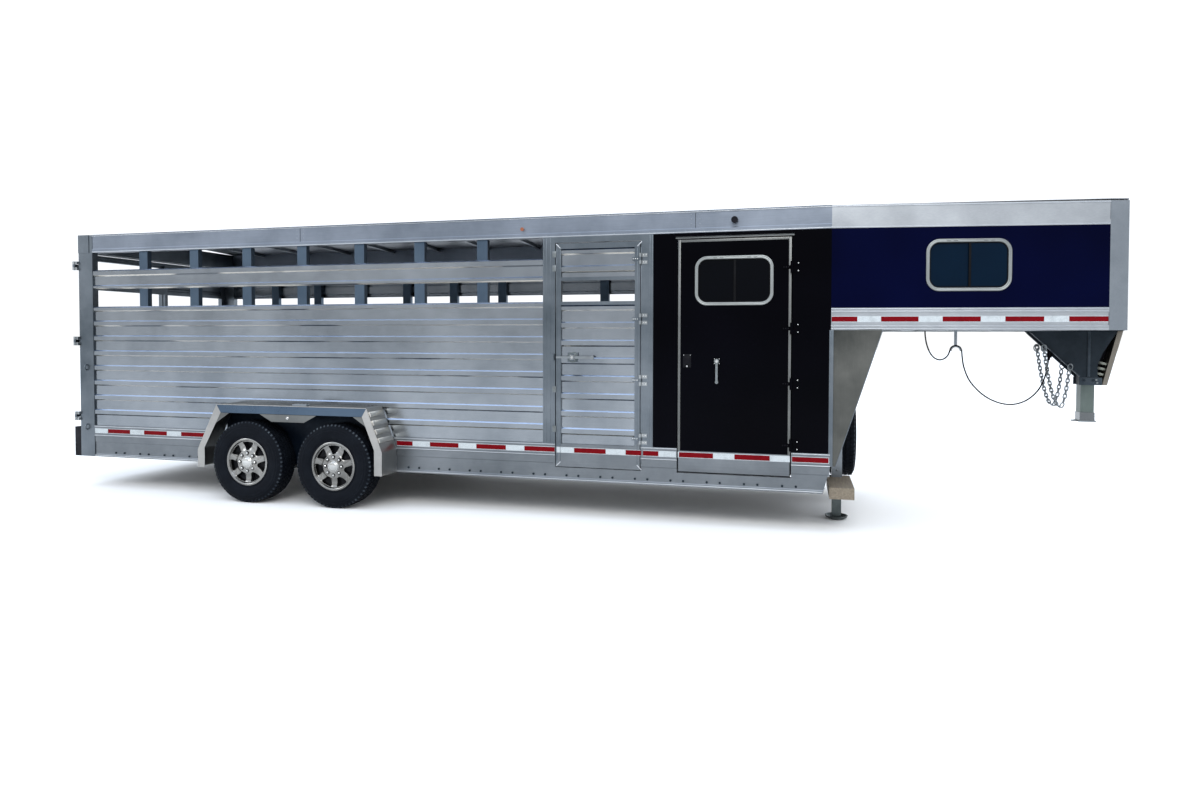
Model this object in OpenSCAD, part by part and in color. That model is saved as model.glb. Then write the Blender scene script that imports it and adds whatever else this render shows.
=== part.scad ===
// Gooseneck stock trailer with a tack room under a raised nose.
// +X points forward to the coupler, +Y to the trailer's left side and +Z up; the ground is Z = 0.

/* [Overall] */
// Length of the floor, from the back of the rear frame to the step under the nose
floor_len = 7400; // [6100:10:9000]
// Length of the raised nose ahead of the step, along the middle
nose_len = 2376; // [2180:1:2900]
// Width over the side rails
body_w = 2060; // [1700:10:2480]
// Height of the top rails' upper edge above the ground
body_h = 2580; // [2140:10:3100]
// Height of the roof's middle above the top rails
roof_crown = 30; // [20:1:60]

/* [Side walls] */
// Height of the bottom rails' lower edge above the ground
rail_z = 316; // [313:1:330]
// Height of the bottom rails
bottom_rail_h = 318; // [265:1:380]
// Height of the top rails
top_rail_h = 180; // [150:1:216]
// Depth of the rails across the trailer
rail_t = 50; // [42:1:60]
// Height of the deck's top above the ground
deck_z = 450; // [440:1:470]
// Thickness of the deck sheet
deck_t = 6; // [4:1:10]
// Spacing of the cross members under the deck
joist_pitch = 305; // [250:5:370]
// Spacing of the side posts
post_pitch = 610; // [500:5:740]
// Width of a side post
post_w = 100; // [80:1:120]
// Height of each open slot in the sides
slot_h = 177; // [147:1:213]
// Height of the slat between the two slots
slat_h = 195; // [162:1:234]
// Height from one side rib to the next
rib_pitch = 151; // [125:1:182]
// Height of a raised rib
rib_h = 62; // [50:1:75]
// How far a rib stands out of the sheet
rib_relief = 12; // [8:1:14]
// Thickness of the ribbed side sheet
sheet_t = 2.5; // [2:0.5:4]
// Thickness of the painted skins
skin_t = 3; // [2:0.5:4]

/* [Rear] */
// Width of a rear post, along the trailer
rear_post_w = 175; // [145:1:210]
// Thickness of the rubber rear bumper
bumper_t = 78; // [65:1:94]

/* [Side doors] */
// Distance from the step back to the stock door's front edge
stock_door_x = 1522; // [1480:1:1700]
// Width of the stock door
stock_door_w = 734; // [610:1:882]
// Distance from the step back to the tack door's front edge
tack_door_x = 303; // [280:1:340]
// Width of the tack door
tack_door_w = 900; // [750:1:1040]
// Gap around each side door
door_gap = 8; // [6:1:10]
// Thickness of the side doors
door_t = 40; // [34:1:46]

/* [Nose] */
// How far the nose's sides come in before the corner posts
nose_inset = 282; // [235:1:338]
// Distance from the step to the corner posts
corner_x = 2007; // [1960:1:2050]
// Height of the nose's underside above the ground
nose_z = 1607; // [1500:1:1680]
// Height of the nose's bottom rails
nose_rail_h = 173; // [145:1:207]

/* [Wheels] */
// Distance from the step back to the front axle
axle_x = 4287; // [4100:1:4350]
// Spacing of the two axles
axle_pitch = 912; // [880:1:960]
// Outer radius of the tyres
tyre_r = 382; // [360:1:390]
// Width of the tyres
tyre_w = 225; // [188:1:228]
// Radius of the wheel rims' outer lip
rim_r = 221; // [205:1:230]
// Gap between the tyres and the side rails
tyre_gap = 17; // [15:1:30]
// Width of the band along the fenders' outer edge
fender_band = 76; // [64:1:91]

/* [Coupler] */
// Width of the square coupler tube
coupler_w = 101.6; // [84:0.1:122]
// Distance from the step to the coupler's centre
coupler_x = 2103; // [2095:1:2110]
// Height of the coupler's underside above the ground
coupler_z = 845; // [705:1:1000]
// Radius of the socket for the hitch ball
ball_r = 30; // [29.8:0.1:31]
// Depth of the hitch ball's socket
ball_depth = 50; // [42:1:56]

/* [Jack] */
// Distance from the step to the jack's centre
jack_x = 80; // [76:1:90]
// Distance of the jack from the trailer's middle, to the right
jack_y = 460; // [450:1:550]
// Width of the jack's square leg
jack_leg_w = 76; // [64:1:90]
// Radius of the jack's foot
foot_r = 95; // [80:1:114]

/* [Hidden] */
$fn = 48;

eps = 1;                                   // how far a cutter runs past what it cuts
clear = 0.4;                               // running gap between sliding pieces
hw = body_w / 2;                           // half the body's width
inner = hw - rail_t;                       // inner face of the rails, from the middle
rail_top = rail_z + bottom_rail_h;         // top of the bottom rails
top_rail_z = body_h - top_rail_h;          // underside of the top rails
rear_x = -floor_len;                       // back face of the rear frame
wall_x = rear_x + rear_post_w;             // where the side walls start
origin_x = (floor_len + bumper_t - nose_len) / 2;   // puts the origin in the middle of the length
tube_t = 4;                                // wall of the hollow extrusions
silver = "silver";
navy = [0.05, 0.06, 0.12];
dark = [0.2, 0.22, 0.24];

// Heights of the side openings, worked down from the top rail
upper_slot_z = top_rail_z - slot_h;
slat_z = upper_slot_z - slat_h;
lower_slot_z = slat_z - slot_h;

// The ribbed sheet's raised face lies just inside the rails' outer face
sheet_y = hw - 4;
post_y = sheet_y - rib_relief - sheet_t;   // outer face of the side posts
post_t = 50;
rib_slope = 12;
top_band = 52;                             // raised edge at the top of the lower panel

// Side doors: the rear edge, the bottom and the top of each
stock_rear_x = -(stock_door_x + stock_door_w);
tack_rear_x = -(tack_door_x + tack_door_w);
sill_z = 430;                              // top of the rail's shelf under a door
door_z = sill_z + door_gap;
door_top = top_rail_z - 55;
jamb_w = 110;
bulkhead_x = -stock_door_x + jamb_w;       // front face of the jamb, where the tack room starts

post_first_x = stock_rear_x - jamb_w - 577;
post_count = floor((post_first_x - wall_x - 200) / post_pitch) + 1;
post_xs = [for (i = [0 : post_count - 1]) post_first_x - i * post_pitch];
joist_h = 100;
joist_count = floor((floor_len - rear_post_w - 120) / joist_pitch) + 1;

// The nose: its taper and its plan outline
taper = atan(nose_inset / corner_x);
nose_rail_top = nose_z + nose_rail_h;
nose_floor_z = nose_z + 30;                // underside of the nose's floor sheet
corner_post_w = 135;
corner_end_x = corner_x + corner_post_w;
corner_y = hw - nose_inset;
corner_end_y = corner_y - 35;
side_len = corner_x / cos(taper);

// Windows: outer size of the frame, its corner radius and its ring
window_w = 627;
window_h = 402;
window_r = 100;
window_ring = 28;
tack_window_x = -1067;
tack_window_z = 1806;
nose_window_s = 705;
nose_window_z = 1905;
pane_t = 5;
pane_gap = 1;
pane_y = 3;                                // how far the fixed pane lies inside the wall's face
mullion_w = 16;

// Running gear
wheel_y = hw + tyre_gap + tyre_w / 2;      // middle of a tyre, from the trailer's middle
wheel_xs = [-(axle_x + axle_pitch), -axle_x];
axle_drop = 109;                           // how far the torsion beam lies below the spindle
axle_lead = 60;                            // how far the beam lies ahead of the spindle
axle_beam_w = 76;
spindle_r = 22.5;
spindle_fit = 0.05;
fender_out = wheel_y + tyre_w / 2 + 13;
fender_top = 915;

// The jack and the coupler
jack_tube_w = jack_leg_w + 2 * tube_t + 2 * clear;
jack_top = 1290;
neck_w = coupler_w + 2 * clear + 2 * 6;
neck_bottom = 1155;
latch_t = 12;
socket_z = coupler_z + latch_t + 0.3;
socket_h = 67;

// Hinges: a leaf, a barrel and a pin
pin_r = 6;
barrel_r = 12;
barrel_h = 90;
hinge_out = 16;                            // how far a side hinge's axis lies outside the rails
hinge_zs = [700, 1190, 1700, 2200];
tack_hinge_zs = [690, 1180, 1620, 2105];
gate_hinge_out = 20;
gate_hinge_back = 40;
gate_hinge_zs = [730, 1500, 2270];
post_depth = 65;                           // size of a rear post across the trailer
gate_t = 50;

// Route of the cable under the nose: out of the floor, over its hook and up to the neck
cord_r = 6;
cord_pts = [
    [840, 0, 1607], [843, 0, 1560], [853, 0, 1500], [872, 0, 1440], [896, 0, 1396],
    [926, 0, 1366], [964, 0, 1354], [1002, 0, 1366], [1030, 0, 1396], [1044, 0, 1432],
    [1058, 0, 1466], [1092, 0, 1480], [1126, 0, 1466], [1140, 0, 1432], [1146, 0, 1376],
    [1160, 0, 1292], [1200, 0, 1186], [1268, 0, 1096], [1350, 0, 1028], [1444, 0, 985],
    [1540, 0, 973], [1628, 0, 996], [1700, 0, 1046], [1756, 0, 1116], [1792, 0, 1200],
    [1812, 0, 1290], [1822, 0, 1360]
];
saddle_x = 1092;                           // middle of the round saddle that the cable hangs over
saddle_z = 1432;
saddle_r = 48 - cord_r;

// ---- shared shapes ----

module at_origin() {
    translate([origin_x, 0, 0]) children();
}

// The right side's shape and its mirror image on the left
module both_sides() {
    children();
    mirror([0, 1, 0]) children();
}

// A box from one corner to the opposite one
module span(a, b) {
    translate(a) cube(b - a);
}

// An outline in (distance from the middle, height), run along the trailer on the right side
module run(x0, x1) {
    translate([x0, 0, 0]) rotate([90, 0, 90]) linear_extrude(x1 - x0) children();
}

// A square tube standing on its end, centred on the Z axis
module square_tube(w, t, h) {
    linear_extrude(h) difference() {
        square(w, center = true);
        square(w - 2 * t, center = true);
    }
}

// Heights of the ribs that fit below z1 and above z0
function rib_zs(z0, z1) =
    [for (z = z1 - top_band - rib_pitch; z > z0 + rib_slope; z = z - rib_pitch) z];

// Outer edge of a ribbed sheet, from the top down: each band is [low, high]
function band_edge(bands, y_low, y_high) = [
    for (b = bands)
        each [[y_low, b[1]], [y_high, b[1] - rib_slope], [y_high, b[0] + rib_slope], [y_low, b[0]]]
];

// A ribbed sheet between two heights, run along the trailer on the right side
module ribbed(x0, x1, z0, z1, bands, face_y) {
    y_low = face_y - rib_relief;
    edge = concat([[y_low, z1]], band_edge(bands, y_low, face_y), [[y_low, z0]]);
    count = len(edge);
    back = [for (i = [count - 1 : -1 : 0]) [edge[i][0] - sheet_t, edge[i][1]]];
    run(x0, x1) mirror([1, 0, 0]) polygon(concat(edge, back));
}

// Bands of the lower panels: a raised top edge and evenly spaced ribs
function lower_bands(z0, z1) =
    concat([[z1 - top_band, z1]], [for (z = rib_zs(z0, z1)) [z, z + rib_h]]);

// Bands of the slat between the slots: a raised edge at the top and at the bottom
function slat_bands(z0, z1) = [[z1 - 65, z1], [z0, z0 + 43]];

// Local frame of the right side's wall: X along it, Y inwards, its outer face at Y = 0
module on_side() {
    translate([0, -hw, 0]) children();
}

module on_taper() {
    translate([0, -hw, 0]) rotate([0, 0, taper]) children();
}

// A point on the nose's right wall: x along the trailer, depth square to the wall
function taper_pt(x, depth) = [x, -(hw - x * tan(taper) - depth / cos(taper))];

// A wall of the nose between two depths, cut square across the trailer at its ends
module taper_wall(x0, x1, d0, d1, z0, z1) {
    translate([0, 0, z0]) linear_extrude(z1 - z0)
        polygon([taper_pt(x0, d0), taper_pt(x1, d0), taper_pt(x1, d1), taper_pt(x0, d1)]);
}

// ---- floor and frame ----

module floor_deck() {
    color(silver) at_origin()
        span([wall_x, -inner, deck_z - deck_t], [0, inner, deck_z]);
}

// An I-beam across the trailer
module joist(x) {
    z1 = deck_z - deck_t;
    flange = 25;
    translate([x, inner, z1 - joist_h]) rotate([90, 0, 0]) linear_extrude(2 * inner)
        polygon([
            [-flange, 0], [flange, 0], [flange, tube_t], [tube_t / 2, tube_t],
            [tube_t / 2, joist_h - tube_t], [flange, joist_h - tube_t], [flange, joist_h],
            [-flange, joist_h], [-flange, joist_h - tube_t], [-tube_t / 2, joist_h - tube_t],
            [-tube_t / 2, tube_t], [-flange, tube_t]
        ]);
}

module cross_members() {
    color(silver) at_origin()
        for (i = [0 : joist_count - 1]) joist(-60 - i * joist_pitch);
}

// Hollow bottom rail: a deep tape face above, two set-back faces and a bolting flange below
module rail_outline() {
    face = rail_top - 102;
    difference() {
        polygon([
            [-inner, rail_z], [-inner, rail_top], [-hw, rail_top], [-hw, face],
            [-hw + 4, face - 6], [-hw + 4, sill_z + 40], [-hw + 8, sill_z + 30],
            [-hw + 8, rail_z + 29], [-hw + 3, rail_z + 22], [-hw + 3, rail_z]
        ]);
        for (cell = [[rail_z + tube_t, sill_z - tube_t], [sill_z + tube_t, face - tube_t],
                     [face + tube_t, rail_top - tube_t]])
            translate([-hw + 8 + tube_t, cell[0]])
                square([rail_t - 8 - 2 * tube_t, cell[1] - cell[0]]);
    }
}

// Room for a side door above the rail's shelf
module door_notch(x0, x1) {
    span([x0 - door_gap, -hw - eps, sill_z], [x1 + door_gap, -inner + eps, rail_top + eps]);
}

// The right rail, with its front end cut back below
module bottom_rail() {
    cut_len = 52;
    cut_h = 200;
    difference() {
        run(wall_x, 0) rail_outline();
        translate([0, -hw - eps, rail_z + cut_h]) rotate([0, atan(cut_len / cut_h), 0])
            translate([0, 0, -2 * cut_h]) cube([2 * cut_len, rail_t + 2 * eps, 2 * cut_h]);
    }
}

module bottom_rails() {
    color(silver) at_origin() {
        difference() {
            bottom_rail();
            door_notch(stock_rear_x, -stock_door_x);
            door_notch(tack_rear_x, -tack_door_x);
        }
        mirror([0, 1, 0]) bottom_rail();
    }
}

module side_post(x, z0, z1) {
    translate([x, -post_y + post_t / 2, z0]) linear_extrude(z1 - z0) difference() {
        square([post_w, post_t], center = true);
        square([post_w - 2 * tube_t, post_t - 2 * tube_t], center = true);
    }
}

module side_posts() {
    left_posts = floor((bulkhead_x - post_w - post_first_x) / post_pitch);
    left_xs = [for (i = [1 : left_posts]) post_first_x + i * post_pitch];
    color(silver) at_origin() {
        both_sides() for (x = post_xs) side_post(x, rail_top, top_rail_z);
        mirror([0, 1, 0]) for (x = left_xs) side_post(x, rail_top, top_rail_z);
    }
}

// Lower panel and slat of one side, from the rear frame to the given place
module side_sheets(x1) {
    ribbed(wall_x, x1, rail_top, lower_slot_z, lower_bands(rail_top, lower_slot_z), sheet_y);
    ribbed(wall_x, x1, slat_z, upper_slot_z, slat_bands(slat_z, upper_slot_z), sheet_y);
}

module side_panels() {
    color(silver) at_origin() {
        side_sheets(stock_rear_x - door_gap - jamb_w);
        mirror([0, 1, 0]) side_sheets(bulkhead_x);
    }
}

// Hollow top rail with a lip above and a bead along its lower edge
module top_rail_outline() {
    difference() {
        polygon([
            [-inner + 20, top_rail_z], [-inner + 20, body_h], [-hw, body_h],
            [-hw, body_h - 14], [-hw + 3, body_h - 18], [-hw + 3, top_rail_z + 40],
            [-hw, top_rail_z + 34], [-hw, top_rail_z]
        ]);
        translate([-hw + 3 + tube_t, top_rail_z + tube_t])
            square([rail_t + 20 - 3 - 2 * tube_t, top_rail_h - 2 * tube_t]);
    }
}

module top_rails() {
    color(silver) at_origin() both_sides() run(wall_x, 0) top_rail_outline();
}

// ---- rear ----

// A welded loop for a tie rope
module tie_loop(z) {
    translate([rear_x + rear_post_w / 2, -hw, z]) rotate([0, 90, 0])
        rotate_extrude(angle = 360) translate([26, 0]) circle(r = 6);
}

module rear_frame() {
    cap = 5;
    color(silver) at_origin() {
        difference() {
            union() {
                both_sides() span([rear_x, -hw, rail_z], [wall_x, -hw + post_depth, top_rail_z]);
                span([rear_x, -hw, top_rail_z], [wall_x, hw, body_h]);
                span([rear_x, -hw - cap, top_rail_z], [wall_x - 40, hw + cap, body_h + 2]);
                span([rear_x, -hw + post_depth, rail_z], [wall_x, hw - post_depth, deck_z]);
            }
            span([rear_x + tube_t, -hw + tube_t, top_rail_z + tube_t],
                 [wall_x - tube_t, hw - tube_t, body_h - tube_t]);
            span([rear_x + tube_t, -hw + post_depth + tube_t, rail_z + tube_t],
                 [wall_x - tube_t, hw - post_depth - tube_t, deck_z - tube_t]);
            both_sides() span([rear_x + tube_t, -hw + tube_t, rail_z + tube_t],
                              [wall_x - tube_t, -hw + post_depth - tube_t, top_rail_z - tube_t]);
        }
        both_sides() for (z = [620, 1230]) tie_loop(z);
    }
}

// Rubber blocks on the rear posts and a bar under the gate
module rear_bumper() {
    block_h = 300;
    color(dark) at_origin() {
        both_sides() difference() {
            span([rear_x - bumper_t, -hw, rail_z], [rear_x, -hw + post_depth, rail_z + block_h]);
            for (z = [rail_z + 60, rail_z + 240])
                translate([rear_x - bumper_t - eps, -hw + post_depth / 2, z]) rotate([0, 90, 0])
                    cylinder(r = 14, h = 20 + eps);
        }
        span([rear_x - bumper_t, -hw + post_depth + 5, rail_z],
             [rear_x, hw - post_depth - 5, deck_z - 20]);
    }
}

// ---- roof ----

// Underside of the cambered roof across the trailer, from one top rail to the other
function roof_z(y) = body_h + roof_crown * (1 - pow(y / (hw - 2), 2));
roof_ys = [for (i = [-12 : 12]) i * (hw - 2) / 12];
roof_t = 2;

module roof_bow(x) {
    bow_w = 38;
    reach = inner - 20;
    ys = [for (i = [-10 : 10]) i * reach / 10];
    translate([x, 0, 0]) rotate([90, 0, 90]) linear_extrude(bow_w, center = true)
        polygon(concat(
            [for (y = ys) [y, roof_z(y) - 2 * roof_t - 0.5]],
            [for (i = [20 : -1 : 0]) [ys[i], roof_z(ys[i]) - 2 * roof_t - 32.5]]
        ));
}

module roof_bows() {
    bow_count = floor((floor_len - rear_post_w - 120) / post_pitch) + 1;
    color(silver) at_origin()
        for (i = [0 : bow_count - 1]) roof_bow(-60 - i * post_pitch);
}

// Cambered sheet between two places along the trailer
module roof_sheet(x0, x1) {
    count = len(roof_ys);
    run(x0, x1) polygon(concat(
        [for (y = roof_ys) [y, roof_z(y)]],
        [for (i = [count - 1 : -1 : 0]) [roof_ys[i], roof_z(roof_ys[i]) - 2 * roof_t]]
    ));
}

// Plan of the nose, moved in by an inset
module nose_plan(inset) {
    polygon([
        [0, -hw + inset], [corner_x, -corner_y + inset], [corner_end_x - inset, -corner_end_y + inset],
        [nose_len - inset, 0], [corner_end_x - inset, corner_end_y - inset],
        [corner_x, corner_y - inset], [0, hw - inset]
    ]);
}

module roof_skin() {
    color("gainsboro") at_origin() {
        difference() {
            roof_sheet(wall_x, 0);
            span([wall_x - eps, -hw - eps, 0], [eps, hw + eps, body_h]);
        }
        difference() {
            intersection() {
                roof_sheet(0, nose_len);
                linear_extrude(2 * body_h) nose_plan(3);
            }
            span([-eps, -hw - eps, 0], [nose_len, hw + eps, body_h]);
        }
    }
}

// ---- tack room and nose ----

module tack_bulkhead() {
    color(silver) at_origin()
        span([bulkhead_x, -inner, deck_z], [bulkhead_x + 25, inner, top_rail_z]);
}

// The painted skin lies flush with the rails' outer face
module tack_skin(x0) {
    span([x0, -hw, rail_top], [0, -hw + skin_t, top_rail_z]);
    span([x0, -hw + skin_t, rail_top], [x0 + 40, -inner, top_rail_z]);
}

module tack_skins() {
    x0 = bulkhead_x;
    color(navy) at_origin() {
        difference() {
            tack_skin(x0);
            span([tack_rear_x - door_gap, -hw - eps, rail_top - eps],
                 [-tack_door_x + door_gap, -inner + eps, door_top + door_gap]);
        }
        at_tack_hinges() hinge_fixed(60, hinge_out);
        mirror([0, 1, 0]) tack_skin(x0);
    }
}

module front_wall() {
    color(silver) at_origin()
        span([-25, -inner, deck_z], [0, inner, nose_floor_z]);
}

// Triangular bracket under the nose on each side of the step
module step_gussets() {
    foot_z = 532;
    color("darkgray") at_origin() both_sides()
        translate([0, -inner, 0]) rotate([90, 0, 0]) linear_extrude(rail_t / 2)
            polygon([[0, nose_z], [380, nose_z], [40, foot_z], [0, foot_z]]);
}

module front_beam() {
    color("tan") at_origin() {
        step_beam_half();
        mirror([0, 1, 0]) span([0, -inner, beam_z], [190, -395, beam_z + 91]);
    }
}

// Floor sheet of the nose on its ribs, with a saddle below it for the cable
module nose_floor() {
    saddle_w = 18;
    color(silver) at_origin() {
        translate([0, 0, nose_floor_z]) linear_extrude(6) nose_plan(rail_t + 35);
        for (x = [300 : 300 : 1800]) {
            reach = hw - (x + 20) * tan(taper) - rail_t / cos(taper);
            span([x - 20, -reach, nose_z], [x + 20, reach, nose_floor_z]);
        }
        translate([saddle_x, saddle_w / 2, saddle_z]) rotate([90, 0, 0]) linear_extrude(saddle_w)
            difference() {
                circle(r = saddle_r);
                circle(r = saddle_r - 8);
                translate([-saddle_r, -saddle_r]) square([2 * saddle_r, saddle_r]);
            }
        span([saddle_x - 12, cord_r + 2, saddle_z + saddle_r - 8],
             [saddle_x + 12, cord_r + 6, nose_floor_z]);
    }
}

// Bottom rail of the nose: two beads with a tape face between them
module nose_bottom_rails() {
    color(silver) at_origin() both_sides() {
        taper_wall(0, corner_x, 0, rail_t, nose_z, nose_z + 40);
        taper_wall(0, corner_x, 4, rail_t, nose_z + 40, nose_rail_top - 38);
        taper_wall(0, corner_x, 0, rail_t, nose_rail_top - 38, nose_rail_top);
    }
}

// Plan of the front wall of the nose, from the corner post to the middle
module front_wall_plan(d0, d1) {
    polygon([
        [corner_end_x - d0, -corner_end_y], [nose_len - d0, 0], [corner_end_x - d0, corner_end_y],
        [corner_end_x - d1, corner_end_y], [nose_len - d1, 0], [corner_end_x - d1, -corner_end_y]
    ]);
}

module nose_top_rails() {
    slope_h = 150;
    color(silver) at_origin() {
        both_sides() {
            taper_wall(0, corner_x, 0, rail_t + 20, body_h - 16, body_h);
            taper_wall(0, corner_x, 3, rail_t + 20, top_rail_z + 38, body_h - 16);
            taper_wall(0, corner_x, 0, rail_t + 20, top_rail_z, top_rail_z + 38);
        }
        difference() {
            translate([0, 0, top_rail_z]) linear_extrude(top_rail_h) front_wall_plan(0, 110);
            translate([nose_len, -hw, body_h - slope_h]) rotate([0, -35, 0])
                translate([0, 0, 0]) cube([300, body_w, 500]);
        }
    }
}

module nose_corner_posts() {
    color(silver) at_origin() both_sides()
        translate([0, 0, nose_z]) linear_extrude(body_h - nose_z) polygon([
            [corner_x, -corner_y], [corner_end_x, -corner_end_y],
            [corner_end_x - 110, -corner_end_y], [corner_end_x - 110, -corner_end_y + 40],
            [corner_x, -corner_end_y + 40]
        ]);
}

// A rounded window outline in the wall's own frame: X along the wall, Y up
module window_shape(grow) {
    r = window_r + grow;
    w = window_w + 2 * grow;
    h = window_h + 2 * grow;
    translate([-grow, -grow]) {
        translate([r, 0]) square([w - 2 * r, h]);
        translate([0, r]) square([w, h - 2 * r]);
        for (x = [r, w - r], y = [r, h - r]) translate([x, y]) circle(r = r);
    }
}

// A flat shape standing in the wall: from y0 outside to y1 inside
module in_wall(y0, y1) {
    translate([0, y1, 0]) rotate([90, 0, 0]) linear_extrude(y1 - y0) children();
}

// Frame ring with the fixed mullion of a sliding window
module window_frame() {
    difference() {
        union() {
            in_wall(-9, 0) window_shape(0);
            in_wall(0, 24) window_shape(-8);
        }
        in_wall(-10, 25) window_shape(-window_ring);
    }
    in_wall(-4, pane_y) translate([window_w / 2 + mullion_w / 2, window_ring])
        square([mullion_w, window_h - 2 * window_ring]);
}

// The fixed pane behind the mullion, in the window's front half
module fixed_pane() {
    in_wall(pane_y, pane_y + pane_t) intersection() {
        window_shape(-window_ring);
        translate([window_w / 2 + mullion_w / 2, 0]) square([window_w / 2 - mullion_w / 2, window_h]);
    }
}

// The pane that slides behind the fixed one
module sliding_pane() {
    y0 = pane_y + pane_t + pane_gap;
    in_wall(y0, y0 + pane_t) intersection() {
        window_shape(-window_ring - 1);
        square([window_w / 2 + 20, window_h]);
    }
    in_wall(y0 + pane_t, y0 + pane_t + 8) translate([window_w / 2 - 8, window_ring + 8])
        square([12, window_h - 2 * window_ring - 16]);
}

module nose_skins() {
    color(navy) at_origin() {
        both_sides() difference() {
            taper_wall(0, corner_x, 0, skin_t, nose_rail_top, top_rail_z);
            on_taper() translate([nose_window_s, 0, nose_window_z])
                in_wall(-eps, skin_t + eps) window_shape(-8);
        }
    }
}

module nose_front() {
    color(navy) at_origin()
        translate([0, 0, nose_z]) linear_extrude(top_rail_z - nose_z) front_wall_plan(0, 12);
}

module nose_window_frames() {
    color("dimgray") at_origin() both_sides()
        on_taper() translate([nose_window_s, 0, nose_window_z]) window_frame();
}

module nose_glass() {
    color([0.3, 0.35, 0.4]) at_origin() {
        on_taper() translate([nose_window_s, 0, nose_window_z]) fixed_pane();
        mirror([0, 1, 0]) on_taper() translate([nose_window_s, 0, nose_window_z]) {
            fixed_pane();
            sliding_pane();
        }
    }
}

module nose_pane() {
    color([0.3, 0.35, 0.4]) at_origin()
        on_taper() translate([nose_window_s, 0, nose_window_z]) sliding_pane();
}

// ---- hinges, latches and doors ----

// The pinned half of a hinge: two barrels, the pin and a leaf towards +X; its axis is the Z axis
module hinge_fixed(leaf, out) {
    third = barrel_h / 3;
    translate([0, 0, -barrel_h / 2]) {
        cylinder(r = pin_r, h = barrel_h - 0.3);
        for (z = [0, 2 * third]) translate([0, 0, z]) {
            cylinder(r = barrel_r, h = third - 0.3);
            span([0, 0, 0], [barrel_r, out, third - 0.3]);
            span([0, out - 6, 0], [leaf, out, third - 0.3]);
        }
    }
}

// The turning half: one drilled barrel between the other two and a leaf towards -X
module hinge_moving(leaf, out) {
    third = barrel_h / 3;
    translate([0, 0, -third / 2]) difference() {
        union() {
            cylinder(r = barrel_r, h = third - 0.3);
            span([-barrel_r, 0, 0], [0, out, third - 0.3]);
            span([-leaf, out - 6, 0], [0, out, third - 0.3]);
        }
        translate([0, 0, -eps]) cylinder(r = pin_r + spindle_fit, h = third + 2 * eps);
    }
}

// Places of the stock door's hinges, on the right side
module at_stock_hinges() {
    for (z = hinge_zs)
        translate([-stock_door_x + door_gap / 2, -hw - hinge_out, z]) children();
}

module at_tack_hinges() {
    for (z = tack_hinge_zs)
        translate([-tack_door_x + door_gap / 2, -hw - hinge_out, z]) children();
}

// Places of the gate's hinges, in a frame whose -Y points to the rear
module at_gate_hinges() {
    for (z = gate_hinge_zs)
        translate([rear_x - gate_hinge_back, -hw - gate_hinge_out, z]) rotate([0, 0, -90]) children();
}

// Posts on both sides of the stock door, the header over it and the keeper for its latch
module door_jambs() {
    rear_edge = stock_rear_x - door_gap;
    front_edge = -stock_door_x + door_gap;
    color(silver) at_origin() {
        for (x = [[rear_edge - jamb_w, rear_edge], [front_edge, bulkhead_x]])
            translate([x[0], -hw, rail_top]) linear_extrude(top_rail_z - rail_top) difference() {
                square([x[1] - x[0], rail_t]);
                translate([tube_t, tube_t]) square([x[1] - x[0] - 2 * tube_t, rail_t - 2 * tube_t]);
            }
        span([rear_edge, -hw, door_top + door_gap], [front_edge, -inner, top_rail_z]);
        span([rear_edge - 34, -hw - 22, 1350], [rear_edge - 6, -hw, 1402]);
    }
}

module hinge_leaves() {
    color("gray") at_origin() {
        at_stock_hinges() hinge_fixed(58, hinge_out);
        at_gate_hinges() {
            third = barrel_h / 3;
            translate([0, 0, -barrel_h / 2]) {
                cylinder(r = pin_r, h = barrel_h - 0.3);
                for (z = [0, 2 * third]) translate([0, 0, z]) {
                    cylinder(r = barrel_r, h = third - 0.3);
                    span([-barrel_r, 0, 0], [0, gate_hinge_back, third - 0.3]);
                    span([-60, gate_hinge_back - 8, 0], [0, gate_hinge_back, third - 0.3]);
                }
            }
        }
    }
}

// Upright frame of a side door, in the wall's own frame
module door_ring(w, h, edge, t) {
    in_wall(0, t) difference() {
        square([w, h]);
        translate([edge, edge]) square([w - 2 * edge, h - 2 * edge]);
    }
}

// Round base on a door with the stud that a latch turns on
module latch_base() {
    in_wall(-8, 0) circle(r = 34);
    in_wall(-34, -8) circle(r = 8);
}

// A cam latch: a hub on its stud, a short bolt arm one way and the handle the other
module latch_arm() {
    in_wall(-30, -8.4) difference() {
        circle(r = 22);
        circle(r = 8 + spindle_fit);
    }
    in_wall(-26, -14) difference() {
        union() {
            translate([-142, -9]) square([142, 18]);
            translate([0, -11]) square([176, 22]);
            translate([176, 0]) circle(r = 16);
        }
        circle(r = 12);
    }
}

latch_x = stock_rear_x + 150;
latch_z = 1376;

module stock_door_frame() {
    edge = 46;
    color(silver) at_origin() {
        on_side() translate([stock_rear_x, 0, door_z]) {
            difference() {
                door_ring(stock_door_w, door_top - door_z, edge, door_t);
                in_wall(tube_t, door_t - tube_t) translate([tube_t, tube_t])
                    square([edge - 2 * tube_t, door_top - door_z - 2 * tube_t]);
            }
            in_wall(0, door_t) for (z = [lower_slot_z - 30, slat_z])
                translate([edge, z - door_z]) square([stock_door_w - 2 * edge, 30]);
            in_wall(0, door_t) translate([edge, edge])
                square([stock_door_w - 2 * edge, rail_top - door_z - edge]);
        }
        on_side() translate([latch_x, 0, latch_z]) {
            latch_base();
            in_wall(0, door_t) translate([-edge, -40]) square([2 * edge, 80]);
        }
        at_stock_hinges() hinge_moving(70, hinge_out);
    }
}

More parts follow.
